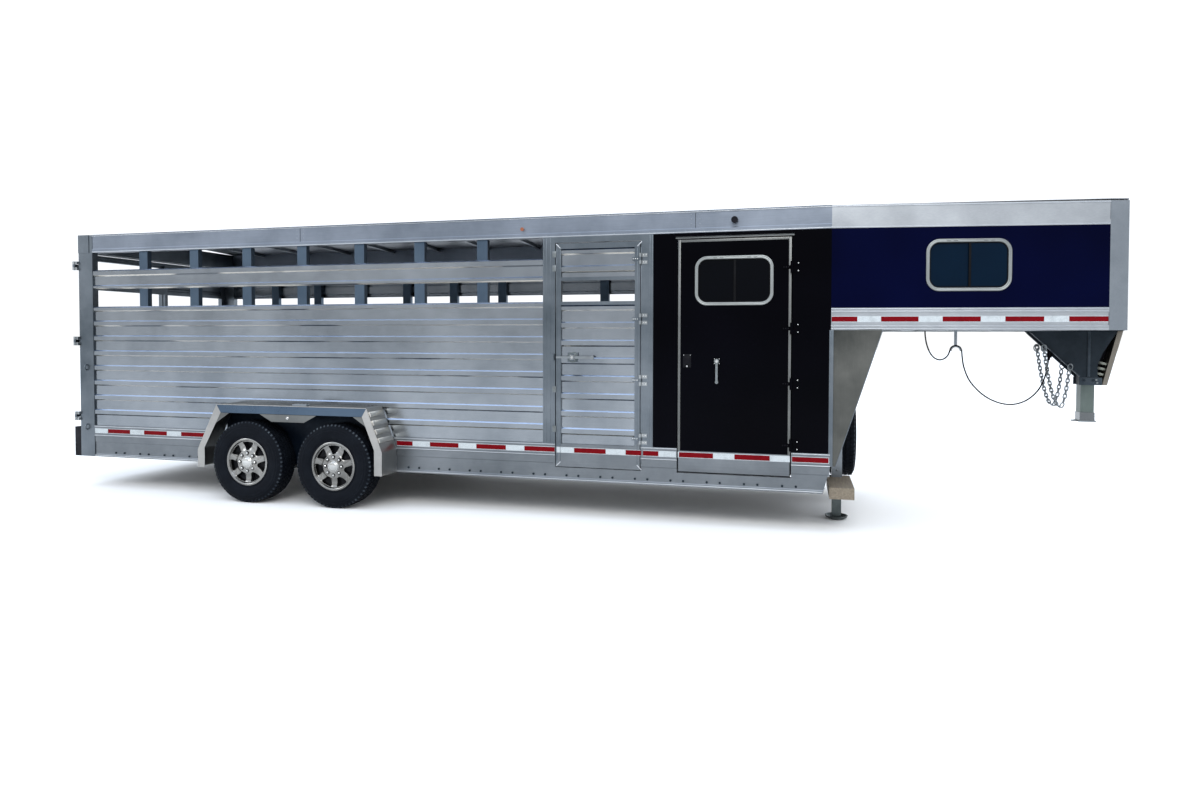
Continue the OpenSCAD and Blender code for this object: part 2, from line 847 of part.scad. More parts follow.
module stock_door_panel() {
    edge = 46;
    x0 = stock_rear_x + edge;
    x1 = -stock_door_x - edge;
    lower_top = lower_slot_z - 30;
    upper_z = slat_z + 30;
    upper_top = door_top - edge;
    color(silver) at_origin() {
        difference() {
            ribbed(x0, x1, rail_top, lower_top, lower_bands(rail_top, lower_top), sheet_y);
            on_side() translate([latch_x, 0, latch_z]) in_wall(0, door_t)
                translate([-edge, -40]) square([2 * edge, 80]);
        }
        ribbed(x0, x1, upper_z, upper_top, lower_bands(upper_z, upper_top), sheet_y);
    }
}

module stock_latch() {
    color("lightgray") at_origin() on_side() translate([latch_x, 0, latch_z]) latch_arm();
}

tack_handle_x = -885;
tack_handle_z = 1355;

// The tack door: a framed leaf with a window opening and the knuckles of its black hinges
module tack_door() {
    color(navy) at_origin() {
        difference() {
            on_side() translate([tack_rear_x, 0, door_z]) in_wall(0, door_t)
                square([tack_door_w, door_top - door_z]);
            on_side() translate([tack_rear_x + 30, 0, door_z + 30]) in_wall(skin_t, door_t - skin_t)
                square([tack_door_w - 60, tack_window_z - door_z - 60]);
            on_side() translate([tack_window_x, 0, tack_window_z])
                in_wall(-eps, door_t + eps) window_shape(-8);
        }
        on_side() translate([tack_handle_x, 0, tack_handle_z]) latch_base();
        at_tack_hinges() hinge_moving(70, hinge_out);
    }
}

module tack_window_frame() {
    color("dimgray") at_origin() on_side() translate([tack_window_x, 0, tack_window_z]) window_frame();
}

module tack_glass() {
    color([0.3, 0.35, 0.4]) at_origin()
        on_side() translate([tack_window_x, 0, tack_window_z]) fixed_pane();
}

module tack_pane() {
    color([0.3, 0.35, 0.4]) at_origin()
        on_side() translate([tack_window_x, 0, tack_window_z]) sliding_pane();
}

// A lever that hangs from its stud
module tack_handle() {
    color("lightgray") at_origin() on_side() translate([tack_handle_x, 0, tack_handle_z]) {
        in_wall(-30, -8.4) difference() {
            circle(r = 20);
            circle(r = 8 + spindle_fit);
        }
        in_wall(-28, -16) difference() {
            union() {
                translate([-9, -170]) square([18, 170]);
                translate([0, -170]) circle(r = 13);
            }
            circle(r = 12);
        }
    }
}

// ---- rear gate ----

gate_half = hw - post_depth - door_gap;            // half the gate's width
gate_z = deck_z + door_gap;
gate_top = top_rail_z - door_gap;

// The rear wall's frame: X points to the right side of the trailer, Y inwards
module on_rear() {
    translate([rear_x, 0, 0]) rotate([0, 0, -90]) children();
}

module gate_frame() {
    edge = 60;
    slat_bottom = slat_z - 30;
    color(silver) at_origin() {
        on_rear() in_wall(0, gate_t) translate([-gate_half, gate_z]) {
            difference() {
                square([2 * gate_half, gate_top - gate_z]);
                for (x = [edge, gate_half + edge / 2])
                    translate([x, edge]) square([gate_half - 1.5 * edge, gate_top - gate_z - 2 * edge]);
            }
            for (z = [lower_slot_z - 40, slat_z])
                translate([edge, z - gate_z]) square([gate_half - 1.5 * edge, 40]);
        }
        on_rear() {
            x0 = -gate_half + edge;
            x1 = -edge / 2;
            translate([0, 34, 0]) {
                ribbed(x0, x1, gate_z + edge, lower_slot_z - 40,
                       lower_bands(gate_z + edge, lower_slot_z - 40), rib_relief + 4);
                ribbed(x0, x1, slat_z + 40, upper_slot_z, slat_bands(slat_z + 40, upper_slot_z),
                       rib_relief + 4);
            }
            translate([-gate_half + 150, 0, latch_z]) latch_base();
        }
        on_rear() for (z = [gate_z + 8, gate_top - 38])
            translate([-gate_half + 4, gate_t, z]) cube([2 * gate_half - 8, 6, 30]);
        for (z = gate_hinge_zs) difference() {
            union() {
                translate([rear_x - gate_hinge_back, -hw - gate_hinge_out, z - barrel_h / 6])
                    cylinder(r = barrel_r, h = barrel_h / 3 - 0.3);
                span([rear_x - gate_hinge_back, -hw - gate_hinge_out, z - barrel_h / 6],
                     [rear_x - gate_hinge_back + 12, -gate_half + 120, z + barrel_h / 6 - 0.3]);
                span([rear_x - gate_hinge_back, -gate_half + 10, z - barrel_h / 6],
                     [rear_x, -gate_half + 120, z + barrel_h / 6 - 0.3]);
            }
            translate([rear_x - gate_hinge_back, -hw - gate_hinge_out, z - barrel_h])
                cylinder(r = pin_r + spindle_fit, h = 2 * barrel_h);
        }
    }
}

// The half gate that slides across inside the frame
module gate_slider() {
    edge = 40;
    y0 = gate_t + 8;
    slider_z = gate_z + 10;
    slider_top = gate_top - 10;
    w = gate_half + 10;
    color(silver) at_origin() on_rear() {
        translate([-15, 0, slider_z]) in_wall(y0, y0 + 26) difference() {
            square([w, slider_top - slider_z]);
            translate([edge, edge]) square([w - 2 * edge, lower_slot_z - slider_z - 2 * edge]);
            translate([edge, lower_slot_z - slider_z]) square([w - 2 * edge, slot_h]);
            translate([edge, upper_slot_z - slider_z]) square([w - 2 * edge, slot_h - edge]);
        }
        translate([0, y0 + 18, 0])
            ribbed(-15 + edge, w - 15 - edge, slider_z + edge, lower_slot_z - edge,
                   lower_bands(slider_z + edge, lower_slot_z - edge), rib_relief + 2);
    }
}

module gate_latch() {
    color("lightgray") at_origin()
        on_rear() translate([-gate_half + 150, 0, latch_z]) latch_arm();
}

// ---- running gear ----

// A wheel stands in its own frame: its axis is Z and its face points to +Z
module tyre_shape() {
    half = tyre_w / 2;
    bead = 94;
    groove = 9;
    difference() {
        rotate_extrude($fn = 96) polygon([
            [206, bead], [226, bead + 0.5], [238, bead + 10], [262, half - 3], [296, half], [330, half - 4],
            [358, half - 12], [tyre_r - 8, half - 22], [tyre_r, half - 36],
            [tyre_r, -half + 36], [tyre_r - 8, -half + 22], [358, -half + 12], [330, -half + 4],
            [296, -half], [262, -half + 3], [238, -bead - 10], [226, -bead - 0.5],
            [206, -bead],
            [206, -bead + 16], [236, -bead + 8], [296, -half + 14], [345, -half + 24],
            [tyre_r - 22, -half + 40], [tyre_r - 22, half - 40], [345, half - 24], [296, half - 14],
            [236, bead - 8], [206, bead - 16]
        ]);
        for (z = [-48, -16, 16, 48]) translate([0, 0, z - groove / 2]) rotate_extrude($fn = 96)
            translate([tyre_r - 8, 0]) square([10, groove]);
    }
}

// An outline between two radii and two angles
function sector(r0, r1, a0, a1) = concat(
    [for (i = [0 : 6]) let (a = a0 + (a1 - a0) * i / 6) r0 * [cos(a), sin(a)]],
    [for (i = [6 : -1 : 0]) let (a = a0 + (a1 - a0) * i / 6) r1 * [cos(a), sin(a)]]
);

module rim_shape(capped) {
    lip = rim_r;
    face = 90;
    difference() {
        union() {
            rotate_extrude($fn = 96) polygon([
                [lip - 2, 102], [lip, 96], [204, 95], [204, -94], [lip, -96], [lip - 2, -101],
                [192, -101], [192, 60], [150, 72], [110, 70], [110, 40], [30, 40],
                [30, face], [100, face], [112, face - 4], [188, face - 4], [200, 102]
            ]);
            translate([0, 0, -78]) cylinder(r = 150, h = 104, $fn = 96);
            translate([0, 0, 26]) cylinder(r = 104, h = face - 26, $fn = 96);
            if (capped) translate([0, 0, face]) cylinder(r = 48, h = 22);
            for (i = [0 : 7]) rotate([0, 0, i * 45]) translate([82.5, 0, face])
                cylinder(r = 10, h = 14, $fn = 24);
        }
        for (i = [0 : 6]) rotate([0, 0, 90 + i * 360 / 7]) translate([0, 0, 55])
            linear_extrude(60) polygon(sector(120, 184, -15, 15));
        translate([0, 0, -79]) cylinder(r = spindle_r + spindle_fit, h = 79 + 70);
        if (!capped) translate([0, 0, 60]) cylinder(r = spindle_r + spindle_fit, h = 100);
    }
}

// Place of a wheel on the right side, numbered from the rear
module at_wheel(i) {
    translate([wheel_xs[i], -wheel_y, tyre_r]) rotate([90, 0, 0]) children();
}

module road_tyre(i) {
    color("#222") at_wheel(i) tyre_shape();
}

module road_rim(i) {
    color("lightgray") at_wheel(i) rim_shape(true);
}

module tyre_right_rear() { at_origin() road_tyre(0); }
module tyre_right_front() { at_origin() road_tyre(1); }
module tyre_left_rear() { at_origin() mirror([0, 1, 0]) road_tyre(0); }
module tyre_left_front() { at_origin() mirror([0, 1, 0]) road_tyre(1); }
module rim_right_rear() { at_origin() road_rim(0); }
module rim_right_front() { at_origin() road_rim(1); }
module rim_left_rear() { at_origin() mirror([0, 1, 0]) road_rim(0); }
module rim_left_front() { at_origin() mirror([0, 1, 0]) road_rim(1); }

// One torsion axle: the beam under the floor and, at each end, an arm, a spindle and a plate
module torsion_axle(x) {
    beam_z = tyre_r - axle_drop;
    beam_x = x + axle_lead;
    arm_y = wheel_y - tyre_w / 2 - 1;
    plate_y = wheel_y - 88;
    half = axle_beam_w / 2;
    arm_len = norm([axle_lead, axle_drop]);
    difference() {
        span([beam_x - half, -arm_y, beam_z - half], [beam_x + half, arm_y, beam_z + half]);
        span([beam_x - half + 6, -arm_y + 20, beam_z - half + 6],
             [beam_x + half - 6, arm_y - 20, beam_z + half - 6]);
    }
    both_sides() {
        translate([beam_x, -arm_y, beam_z]) rotate([90, 0, 0]) {
            cylinder(r = half, h = 20);
            rotate([0, 0, 90 + atan(axle_lead / axle_drop)])
                translate([0, -30, 0]) cube([arm_len, 60, 20]);
        }
        translate([x, -arm_y, tyre_r]) rotate([90, 0, 0]) {
            cylinder(r = 36, h = 20);
            cylinder(r = spindle_r, h = wheel_y - arm_y + 66);
        }
        translate([x, -plate_y, tyre_r]) rotate([90, 0, 0]) cylinder(r = 140, h = 6);
        for (y = [720, 900]) translate([beam_x - 120, -y - 30, beam_z + half])
            cube([240, 60, deck_z - deck_t - joist_h - beam_z - half]);
    }
}

module axles() {
    color(dark) at_origin() {
        for (x = wheel_xs) torsion_axle(x);
        both_sides() span([wheel_xs[0] - 200, -inner + 2, deck_z - deck_t - joist_h - 8],
                          [wheel_xs[1] + 300, -inner + 72, deck_z - deck_t - joist_h]);
    }
}

// A fender's outline from its rear foot, over the top, to its front foot
function fender_line(d) = [
    [wheel_xs[0] - 521 + d, 320], [wheel_xs[0] - 521 + d, 486 + d * 0.24],
    [wheel_xs[0] - 307 + d * 0.6, fender_top - d], [wheel_xs[1] + 357 - d * 0.6, fender_top - d],
    [wheel_xs[1] + 507 - d, 530 + d * 0.2], [wheel_xs[1] + 507 - d, 320]
];

module fender_strip(d0, d1) {
    inside = fender_line(d1);
    polygon(concat(fender_line(d0), [for (i = [5 : -1 : 0]) inside[i]]));
}

module fenders() {
    color(silver) at_origin() both_sides() {
        translate([0, -hw, 0]) rotate([90, 0, 0]) linear_extrude(fender_out - hw) fender_strip(0, 4);
        translate([0, -fender_out, 0]) rotate([90, 0, 0]) translate([0, 0, -4])
            linear_extrude(4) fender_strip(0, fender_band);
    }
}

side_lamp_x = -2559;
load_lamp_x = -747;

module lamps() {
    color("orange") at_origin() both_sides() {
        on_side() translate([side_lamp_x, 0, top_rail_z + 78]) in_wall(-16, 3) circle(r = 16);
        on_side() translate([load_lamp_x, 0, top_rail_z + 90]) {
            in_wall(-10, 3) circle(r = 12);
            in_wall(-46, -10) circle(r = 26);
        }
        translate([wheel_xs[1] - 330, -fender_out + 30, fender_top]) cylinder(r = 16, h = 14);
    }
}

// ---- gooseneck ----

module gooseneck_neck() {
    plate_t = 8;
    plate_y = neck_w / 2;
    color(dark) at_origin() {
        translate([coupler_x, 0, neck_bottom]) square_tube(neck_w, 6, nose_z - neck_bottom);
        both_sides() translate([0, -plate_y, 0]) rotate([90, 0, 0]) linear_extrude(plate_t)
            polygon([
                [coupler_x - 456, nose_z], [coupler_x - 66, 1222], [coupler_x - 66, neck_bottom],
                [coupler_x + 103, neck_bottom], [coupler_x + 68, 1241], [coupler_x + 68, 1324],
                [coupler_x + 103, 1422], [coupler_x + 211, nose_z]
            ]);
        translate([0, plate_y + plate_t, 0]) rotate([90, 0, 0])
            linear_extrude(neck_w + 2 * plate_t) polygon([
                [coupler_x + 211, nose_z], [coupler_x + 251, nose_z],
                [coupler_x + 139, neck_bottom], [coupler_x + 103, neck_bottom]
            ]);
        both_sides() for (x = [-34, 34]) translate([coupler_x + x, -plate_y - plate_t, 1195])
            rotate([90, 0, 0]) cylinder(r = 12, h = 14, $fn = 6);
        both_sides() translate([coupler_x - 346, -plate_y - plate_t, 1477]) rotate([90, 0, 0])
            cylinder(r = 4, h = 46);
        both_sides() translate([coupler_x - 146, -plate_y - plate_t, 1322]) rotate([90, 0, 0])
            cylinder(r = 4, h = 46);
    }
}

module coupler_tube() {
    block_w = coupler_w + 10;
    top = neck_bottom + 380;
    color(dark) at_origin() translate([coupler_x, 0, 0]) {
        translate([0, 0, socket_z + socket_h]) square_tube(coupler_w, 6, top - socket_z - socket_h);
        difference() {
            translate([-block_w / 2, -block_w / 2, socket_z]) cube([block_w, block_w, socket_h]);
            translate([0, 0, socket_z - eps]) cylinder(r = ball_r, h = ball_depth + eps);
        }
    }
}

// The plate that slides under the ball to lock it, with its handle
module coupler_latch() {
    plate_w = coupler_w + 26;
    color("gray") at_origin() translate([coupler_x, 0, coupler_z]) difference() {
        union() {
            translate([-plate_w / 2, -plate_w / 2, 0]) cube([plate_w, plate_w, latch_t]);
            translate([-plate_w / 2 - 40, -12, 0]) cube([44, 24, latch_t]);
        }
        translate([0, 0, -eps]) cylinder(r = ball_r + 3, h = latch_t + 2 * eps);
    }
}

// A chain link: two half rings joined by two bars, lying along X
module link() {
    wire = 5;
    bend = 11.5;
    half = 9;
    for (s = [-1, 1]) {
        translate([s * half, 0, 0]) rotate([0, 0, s * -90])
            rotate_extrude(angle = 180, $fn = 24) translate([bend, 0]) circle(r = wire, $fn = 16);
        translate([-half, s * bend, 0]) rotate([0, 90, 0]) cylinder(r = wire, h = 2 * half, $fn = 16);
    }
}

// X of the links along a hanging curve z = low + a (x - x_low)^2, a link's pitch apart
chain_pitch = 31;
function hang_a(x, z, x_low, z_low) = (z - z_low) / pow(x - x_low, 2);
function hang_xs(x0, x_low, a, x_end) = [
    for (x = x0; x < x_end; x = x + chain_pitch / sqrt(1 + pow(2 * a * (x - x_low), 2))) x
];

// A safety chain between two pins on the neck
module chain(y, x0, z0, x1, z1, x_low, z_low) {
    a0 = hang_a(x0, z0, x_low, z_low);
    a1 = hang_a(x1, z1, x_low, z_low);
    down = hang_xs(x0, x_low, a0, x_low);
    up = hang_xs(down[len(down) - 1] + chain_pitch, x_low, a1, x1 - 4);
    xs = concat(down, up);
    for (i = [0 : len(xs) - 1]) let (x = xs[i], a = x < x_low ? a0 : a1)
        translate([x, y, z_low + a * pow(x - x_low, 2)])
            rotate([0, -atan(2 * a * (x - x_low)), 0]) rotate([90 * (i % 2 + 1), 0, 0]) link();
}

module safety_chains() {
    color("silver") at_origin() both_sides()
        chain(-neck_w / 2 - 36, coupler_x - 345, 1466, coupler_x - 150, 1300, coupler_x - 214, 970);
}

// ---- jack and spare wheel ----

crank_x = jack_x + jack_tube_w / 2 + 40;
crank_z = 1180;
crank_y = 930;
beam_z = 270;

module jack_housing() {
    gear_w = 68;
    color(silver) at_origin() {
        difference() {
            union() {
                translate([jack_x, -jack_y, beam_z]) square_tube(jack_tube_w, tube_t, jack_top - beam_z);
                translate([jack_x - jack_tube_w / 2, -jack_y - jack_tube_w / 2, jack_top])
                    cube([jack_tube_w, jack_tube_w, 5]);
                span([jack_x + jack_tube_w / 2, -jack_y - gear_w / 2, crank_z - 50],
                     [crank_x + 34, -jack_y + gear_w / 2, crank_z + 50]);
                for (z = [700, 1150]) span([0, -jack_y - jack_tube_w / 2, z],
                                           [jack_x - jack_tube_w / 2, -jack_y + jack_tube_w / 2, z + 60]);
                span([0, 796, crank_z - 20], [crank_x + 24, 806, crank_z + 20]);
            }
            translate([crank_x, -jack_y - gear_w / 2 + 8, crank_z]) rotate([-90, 0, 0])
                cylinder(r = 10 + spindle_fit, h = 1400);
        }
    }
}

module jack_leg() {
    color("gray") at_origin() translate([jack_x, -jack_y, 0]) {
        translate([0, 0, 8]) square_tube(jack_leg_w, 5, 900);
        rotate_extrude() polygon([
            [0, 0], [foot_r - 35, 0], [foot_r - 6, 16], [foot_r, 30], [foot_r - 7, 30],
            [foot_r - 12, 22], [foot_r - 38, 8], [0, 8]
        ]);
    }
}

module jack_crank() {
    arm = 140;
    color("gray") at_origin() translate([crank_x, 0, crank_z]) {
        translate([0, -jack_y - 24, 0]) rotate([-90, 0, 0]) cylinder(r = 10, h = crank_y + jack_y + 34);
        span([-11, crank_y, -arm], [11, crank_y + 10, 11]);
        translate([0, crank_y, -arm + 11]) rotate([90, 0, 0]) cylinder(r = 12, h = 88);
    }
}

spare_x = 25 + tyre_w / 2;
spare_z = 682;

module at_spare() {
    translate([spare_x, 0, spare_z]) rotate([0, 90, 0]) children();
}

module spare_mount() {
    color(dark) at_origin() {
        translate([0, 0, spare_z]) rotate([0, 90, 0]) {
            cylinder(r = 90, h = 8);
            cylinder(r = 60, h = spare_x - 78);
            cylinder(r = spindle_r, h = spare_x + 90 + 24);
            translate([0, 0, spare_x + 90]) cylinder(r = 40, h = 12, $fn = 6);
        }
    }
}

module spare_tyre() {
    color("#222") at_origin() at_spare() tyre_shape();
}

module spare_rim() {
    color("lightgray") at_origin() at_spare() rim_shape(false);
}

module step_beam_half() {
    difference() {
        span([0, -inner, beam_z], [190, -395, beam_z + 91]);
        translate([jack_x, -jack_y, beam_z - eps])
            linear_extrude(91 + 2 * eps) square(jack_tube_w, center = true);
    }
}

// ---- cable ----

// Direction of the route at a point, and rings of the tube across it
function route_dir(p, i) =
    let (d = p[min(i + 1, len(p) - 1)] - p[max(i - 1, 0)]) d / norm(d);
function ring_at(p, i, r, n) =
    let (t = route_dir(p, i), side = [0, 1, 0], up = cross(t, side))
    [for (k = [0 : n - 1]) p[i] + r * (cos(360 * k / n) * side + sin(360 * k / n) * up)];

// Points between the chosen ones, on a smooth curve through them
function smooth_pt(p, i, t) =
    let (a = p[max(i - 1, 0)], b = p[i], c = p[i + 1], d = p[min(i + 2, len(p) - 1)])
    0.5 * (2 * b + (c - a) * t + (2 * a - 5 * b + 4 * c - d) * t * t
           + (3 * b - a - 3 * c + d) * t * t * t);
function smooth(p, steps) = concat(
    [for (i = [0 : len(p) - 2], s = [0 : steps - 1]) smooth_pt(p, i, s / steps)],
    [p[len(p) - 1]]
);

module tube(p, r, n) {
    count = len(p);
    points = [for (i = [0 : count - 1]) each ring_at(p, i, r, n)];
    walls = [for (i = [0 : count - 2], k = [0 : n - 1])
        [i * n + k, i * n + (k + 1) % n, (i + 1) * n + (k + 1) % n, (i + 1) * n + k]];
    ends = [[for (k = [n - 1 : -1 : 0]) k], [for (k = [0 : n - 1]) (count - 1) * n + k]];
    polyhedron(points, concat(walls, ends));
}

module trailer_cord() {
    color("#181818") at_origin() tube(smooth(cord_pts, 3), cord_r, 8);
}

module trailer_plug() {
    end = cord_pts[len(cord_pts) - 1];
    color("#181818") at_origin() translate(end) rotate([0, 8, 0]) {
        cylinder(r = 11, h = 22);
        translate([0, 0, 22]) cylinder(r = 20, h = 62);
    }
}

floor_deck();
cross_members();
bottom_rails();
side_posts();
side_panels();
top_rails();
rear_frame();
rear_bumper();
roof_bows();
roof_skin();
tack_bulkhead();
tack_skins();
front_wall();
step_gussets();
front_beam();
nose_floor();
nose_bottom_rails();
nose_top_rails();
nose_corner_posts();
nose_skins();
nose_front();
nose_window_frames();
nose_glass();
nose_pane();
door_jambs();
hinge_leaves();
fenders();
axles();
lamps();
gooseneck_neck();
coupler_tube();
coupler_latch();
safety_chains();
jack_housing();
jack_leg();
jack_crank();
spare_mount();
spare_tyre();
spare_rim();
tyre_right_rear();
tyre_right_front();
tyre_left_rear();
tyre_left_front();
rim_right_rear();
rim_right_front();
rim_left_rear();
rim_left_front();
stock_door_frame();
stock_door_panel();
stock_latch();
tack_door();
tack_window_frame();
tack_glass();
tack_pane();
tack_handle();
gate_frame();
gate_slider();
gate_latch();
trailer_cord();
trailer_plug();
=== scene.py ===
from math import atan, atan2, copysign, cos, pi, radians, sin, sqrt

import bmesh
import bpy
from mathutils import Matrix, Vector


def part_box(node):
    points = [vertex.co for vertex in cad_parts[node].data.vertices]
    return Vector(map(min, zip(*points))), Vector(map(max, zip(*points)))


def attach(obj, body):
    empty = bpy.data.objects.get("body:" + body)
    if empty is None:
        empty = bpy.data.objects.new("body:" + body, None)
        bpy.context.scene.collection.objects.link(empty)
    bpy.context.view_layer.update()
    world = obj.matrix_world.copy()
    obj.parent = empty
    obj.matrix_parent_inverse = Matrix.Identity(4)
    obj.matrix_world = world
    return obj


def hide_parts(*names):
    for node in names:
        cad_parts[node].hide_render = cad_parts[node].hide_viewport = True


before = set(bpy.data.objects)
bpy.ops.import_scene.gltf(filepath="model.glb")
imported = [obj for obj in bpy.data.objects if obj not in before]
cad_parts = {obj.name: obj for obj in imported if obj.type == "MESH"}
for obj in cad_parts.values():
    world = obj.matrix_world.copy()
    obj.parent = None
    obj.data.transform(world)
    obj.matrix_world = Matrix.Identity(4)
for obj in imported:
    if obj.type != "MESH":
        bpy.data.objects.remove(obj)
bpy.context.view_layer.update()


# ---- driving places, in metres, read from the CAD frame where it has them ----

STEP_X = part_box("front_wall")[1].x
HALF_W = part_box("bottom_rails")[1].y
RAIL_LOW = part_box("bottom_rails")[0].z
RAIL_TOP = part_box("bottom_rails")[1].z
TOP_RAIL_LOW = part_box("top_rails")[0].z
TOP_RAIL_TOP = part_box("top_rails")[1].z
REAR_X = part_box("rear_frame")[0].x
WALL_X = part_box("rear_frame")[1].x
NOSE_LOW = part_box("nose_bottom_rails")[0].z
NOSE_RAIL_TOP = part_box("nose_bottom_rails")[1].z
CORNER_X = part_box("nose_bottom_rails")[1].x
FENDER_LOW, FENDER_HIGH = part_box("fenders")
FENDER_OUT = FENDER_HIGH.y
COUPLER_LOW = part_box("coupler_tube")[0].z
NECK_X = (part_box("coupler_tube")[0].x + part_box("coupler_tube")[1].x) / 2
NECK_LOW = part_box("gooseneck_neck")[0].z
PLATE_Y = 0.0657  # the outer face of the neck's side plates
BAR_SLOPE = 0.239  # how far the neck's front bars lean forward, for each metre up
TAPER = atan(0.282 / 2.007)  # the nose's walls: how far in, over how long
NOSE_SIDE = (CORNER_X - STEP_X) / cos(TAPER)
TACK_X0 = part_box("tack_door")[0].x
TACK_X1 = TACK_X0 + 0.9
STOCK_FACE = 0.046  # how wide the stock door's frame is
STOCK_X0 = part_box("stock_door_panel")[0].x - STOCK_FACE
STOCK_X1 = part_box("stock_door_panel")[1].x + 0.016 + STOCK_FACE
WHEELS = ("right_rear", "right_front", "left_rear", "left_front")
SIDES = (-1, 1)


def S(x):
    """A place counted from the step under the nose; behind it is negative."""
    return STEP_X + x


# ---- camera ----

CAMERA_LENS, CAMERA_FRAME, CAMERA_SHIFT = 22.58, 36, -0.037
CAMERA_PLACE = (S(-0.264), -(6.15 + HALF_W), 1.548)
CAMERA_YAW, CAMERA_PITCH, CAMERA_ROLL = 14.6, -1.4, -0.1
FAR_AWAY = 200


def add_camera():
    data = bpy.data.cameras.new("camera")
    data.lens = CAMERA_LENS
    data.sensor_width = CAMERA_FRAME
    data.shift_y = CAMERA_SHIFT
    data.clip_end = FAR_AWAY
    camera = bpy.data.objects.new("camera", data)
    camera.location = CAMERA_PLACE
    camera.rotation_euler = [radians(a) for a in (90 + CAMERA_PITCH, CAMERA_ROLL, CAMERA_YAW)]
    bpy.context.scene.collection.objects.link(camera)
    bpy.context.scene.camera = camera


add_camera()


# ---- mesh helpers ----

def finish_mesh(name, bm, material, smooth=None):
    """Turns a bmesh into an object; smooth is the shading's sharp angle in degrees."""
    bmesh.ops.recalc_face_normals(bm, faces=bm.faces)
    mesh = bpy.data.meshes.new(name)
    bm.to_mesh(mesh)
    bm.free()
    mesh.materials.append(material)
    obj = bpy.data.objects.new(name, mesh)
    bpy.context.scene.collection.objects.link(obj)
    if smooth is not None:
        shade(obj, smooth)
    return obj


def shade(obj, angle):
    for polygon in obj.data.polygons:
        polygon.use_smooth = True
    obj.data.set_sharp_from_angle(angle=radians(angle))


def turned(degrees, axis):
    return Matrix.Rotation(radians(degrees), 4, axis)


def rounded(bm, verts, radius, matrix):
    """Rounds all edges of a new form and puts it in place."""
    if radius:
        edges = list({edge for v in verts for edge in v.link_edges})
        verts = bmesh.ops.bevel(
            bm, geom=edges, offset=radius, segments=2, affect="EDGES", profile=0.5
        )["verts"]
    if matrix is not None:
        bmesh.ops.transform(bm, matrix=matrix, verts=verts)


def add_box(bm, low, high, bevel=0.0, matrix=None):
    """A box between two corners, with rounded edges."""
    low, high = Vector(low), Vector(high)
    made = bmesh.ops.create_cube(bm, size=1.0)["verts"]
    size = high - low
    for v in made:
        v.co = Vector((v.co.x * size.x, v.co.y * size.y, v.co.z * size.z)) + (low + high) / 2
    rounded(bm, made, bevel, matrix)


def add_side_box(bm, side, xs, ys, zs, bevel=0.0):
    """A box on the left (side 1) or right (-1) of the trailer; ys count outward from its middle."""
    low, high = sorted(side * y for y in ys)
    add_box(bm, (xs[0], low, zs[0]), (xs[1], high, zs[1]), bevel)


def add_lathe(bm, profile, steps, matrix=None):
    """Turns a profile of (radius, height) about the Z axis."""
    rings = []
    for i in range(steps):
        a = 2 * pi * i / steps
        rings.append([bm.verts.new((r * cos(a), r * sin(a), z)) for r, z in profile])
    for a, b in zip(rings, rings[1:] + rings[:1]):
        for k in range(len(profile) - 1):
            bm.faces.new((a[k], b[k], b[k + 1], a[k + 1]))
    made = [v for ring in rings for v in ring]
    bmesh.ops.remove_doubles(bm, verts=made, dist=1e-6)
    made = [v for v in made if v.is_valid]
    if matrix is not None:
        bmesh.ops.transform(bm, matrix=matrix, verts=made)
    return made


def add_ring(bm, radius, wire, sides, steps, matrix):
    """A ring of round wire."""
    turns = [2 * pi * i / sides for i in range(sides + 1)]
    add_lathe(bm, [(radius + wire * cos(a), wire * sin(a)) for a in turns], steps, matrix)


def add_dome(bm, centre, radius, height, axis="Y", sign=-1, steps=12):
    """A rivet or bolt head: a low dome on a face."""
    profile = [(radius * cos(t), height * sin(t)) for t in (0, 0.5, 1.0)] + [(0.0, height)]
    turns = {"X": turned(90 * sign, "Y"), "Y": turned(-90 * sign, "X"), "Z": Matrix.Identity(4)}
    add_lathe(bm, profile, steps, Matrix.Translation(centre) @ turns[axis])


def add_hex(bm, centre, radius, height, sign=-1):
    """A hexagon bolt head or nut standing on a side face."""
    profile = [(radius, 0), (radius, height * 0.8), (radius * 0.82, height), (0, height)]
    add_lathe(bm, profile, 6, Matrix.Translation(centre) @ turned(-90 * sign, "X"))


def add_prism(bm, outline, depth, matrix=None, bevel=0.0):
    """Extrudes an outline in XY by depth along Z."""
    low = [bm.verts.new((x, y, 0)) for x, y in outline]
    made = bmesh.ops.extrude_face_region(bm, geom=[bm.faces.new(low)])["geom"]
    high = [g for g in made if isinstance(g, bmesh.types.BMVert)]
    bmesh.ops.translate(bm, verts=high, vec=(0, 0, depth))
    rounded(bm, low + high, bevel, matrix)


# Matrices for pieces on the walls: X along the wall, Y up it, Z out of it
def on_right(x=0.0, z=0.0, out=0.0):
    return Matrix.Translation((x, -HALF_W - out, z)) @ turned(90, "X")


def mirror_y(matrix):
    return Matrix.Diagonal((1, -1, 1, 1)) @ matrix


def on_nose(s=0.0, z=0.0, out=0.0):
    """The nose's right wall: X runs forward along the taper from the step."""
    local = Matrix.Translation((s, -out, z)) @ turned(90, "X")
    return Matrix.Translation((STEP_X, -HALF_W, 0)) @ Matrix.Rotation(TAPER, 4, "Z") @ local


# ---- materials ----

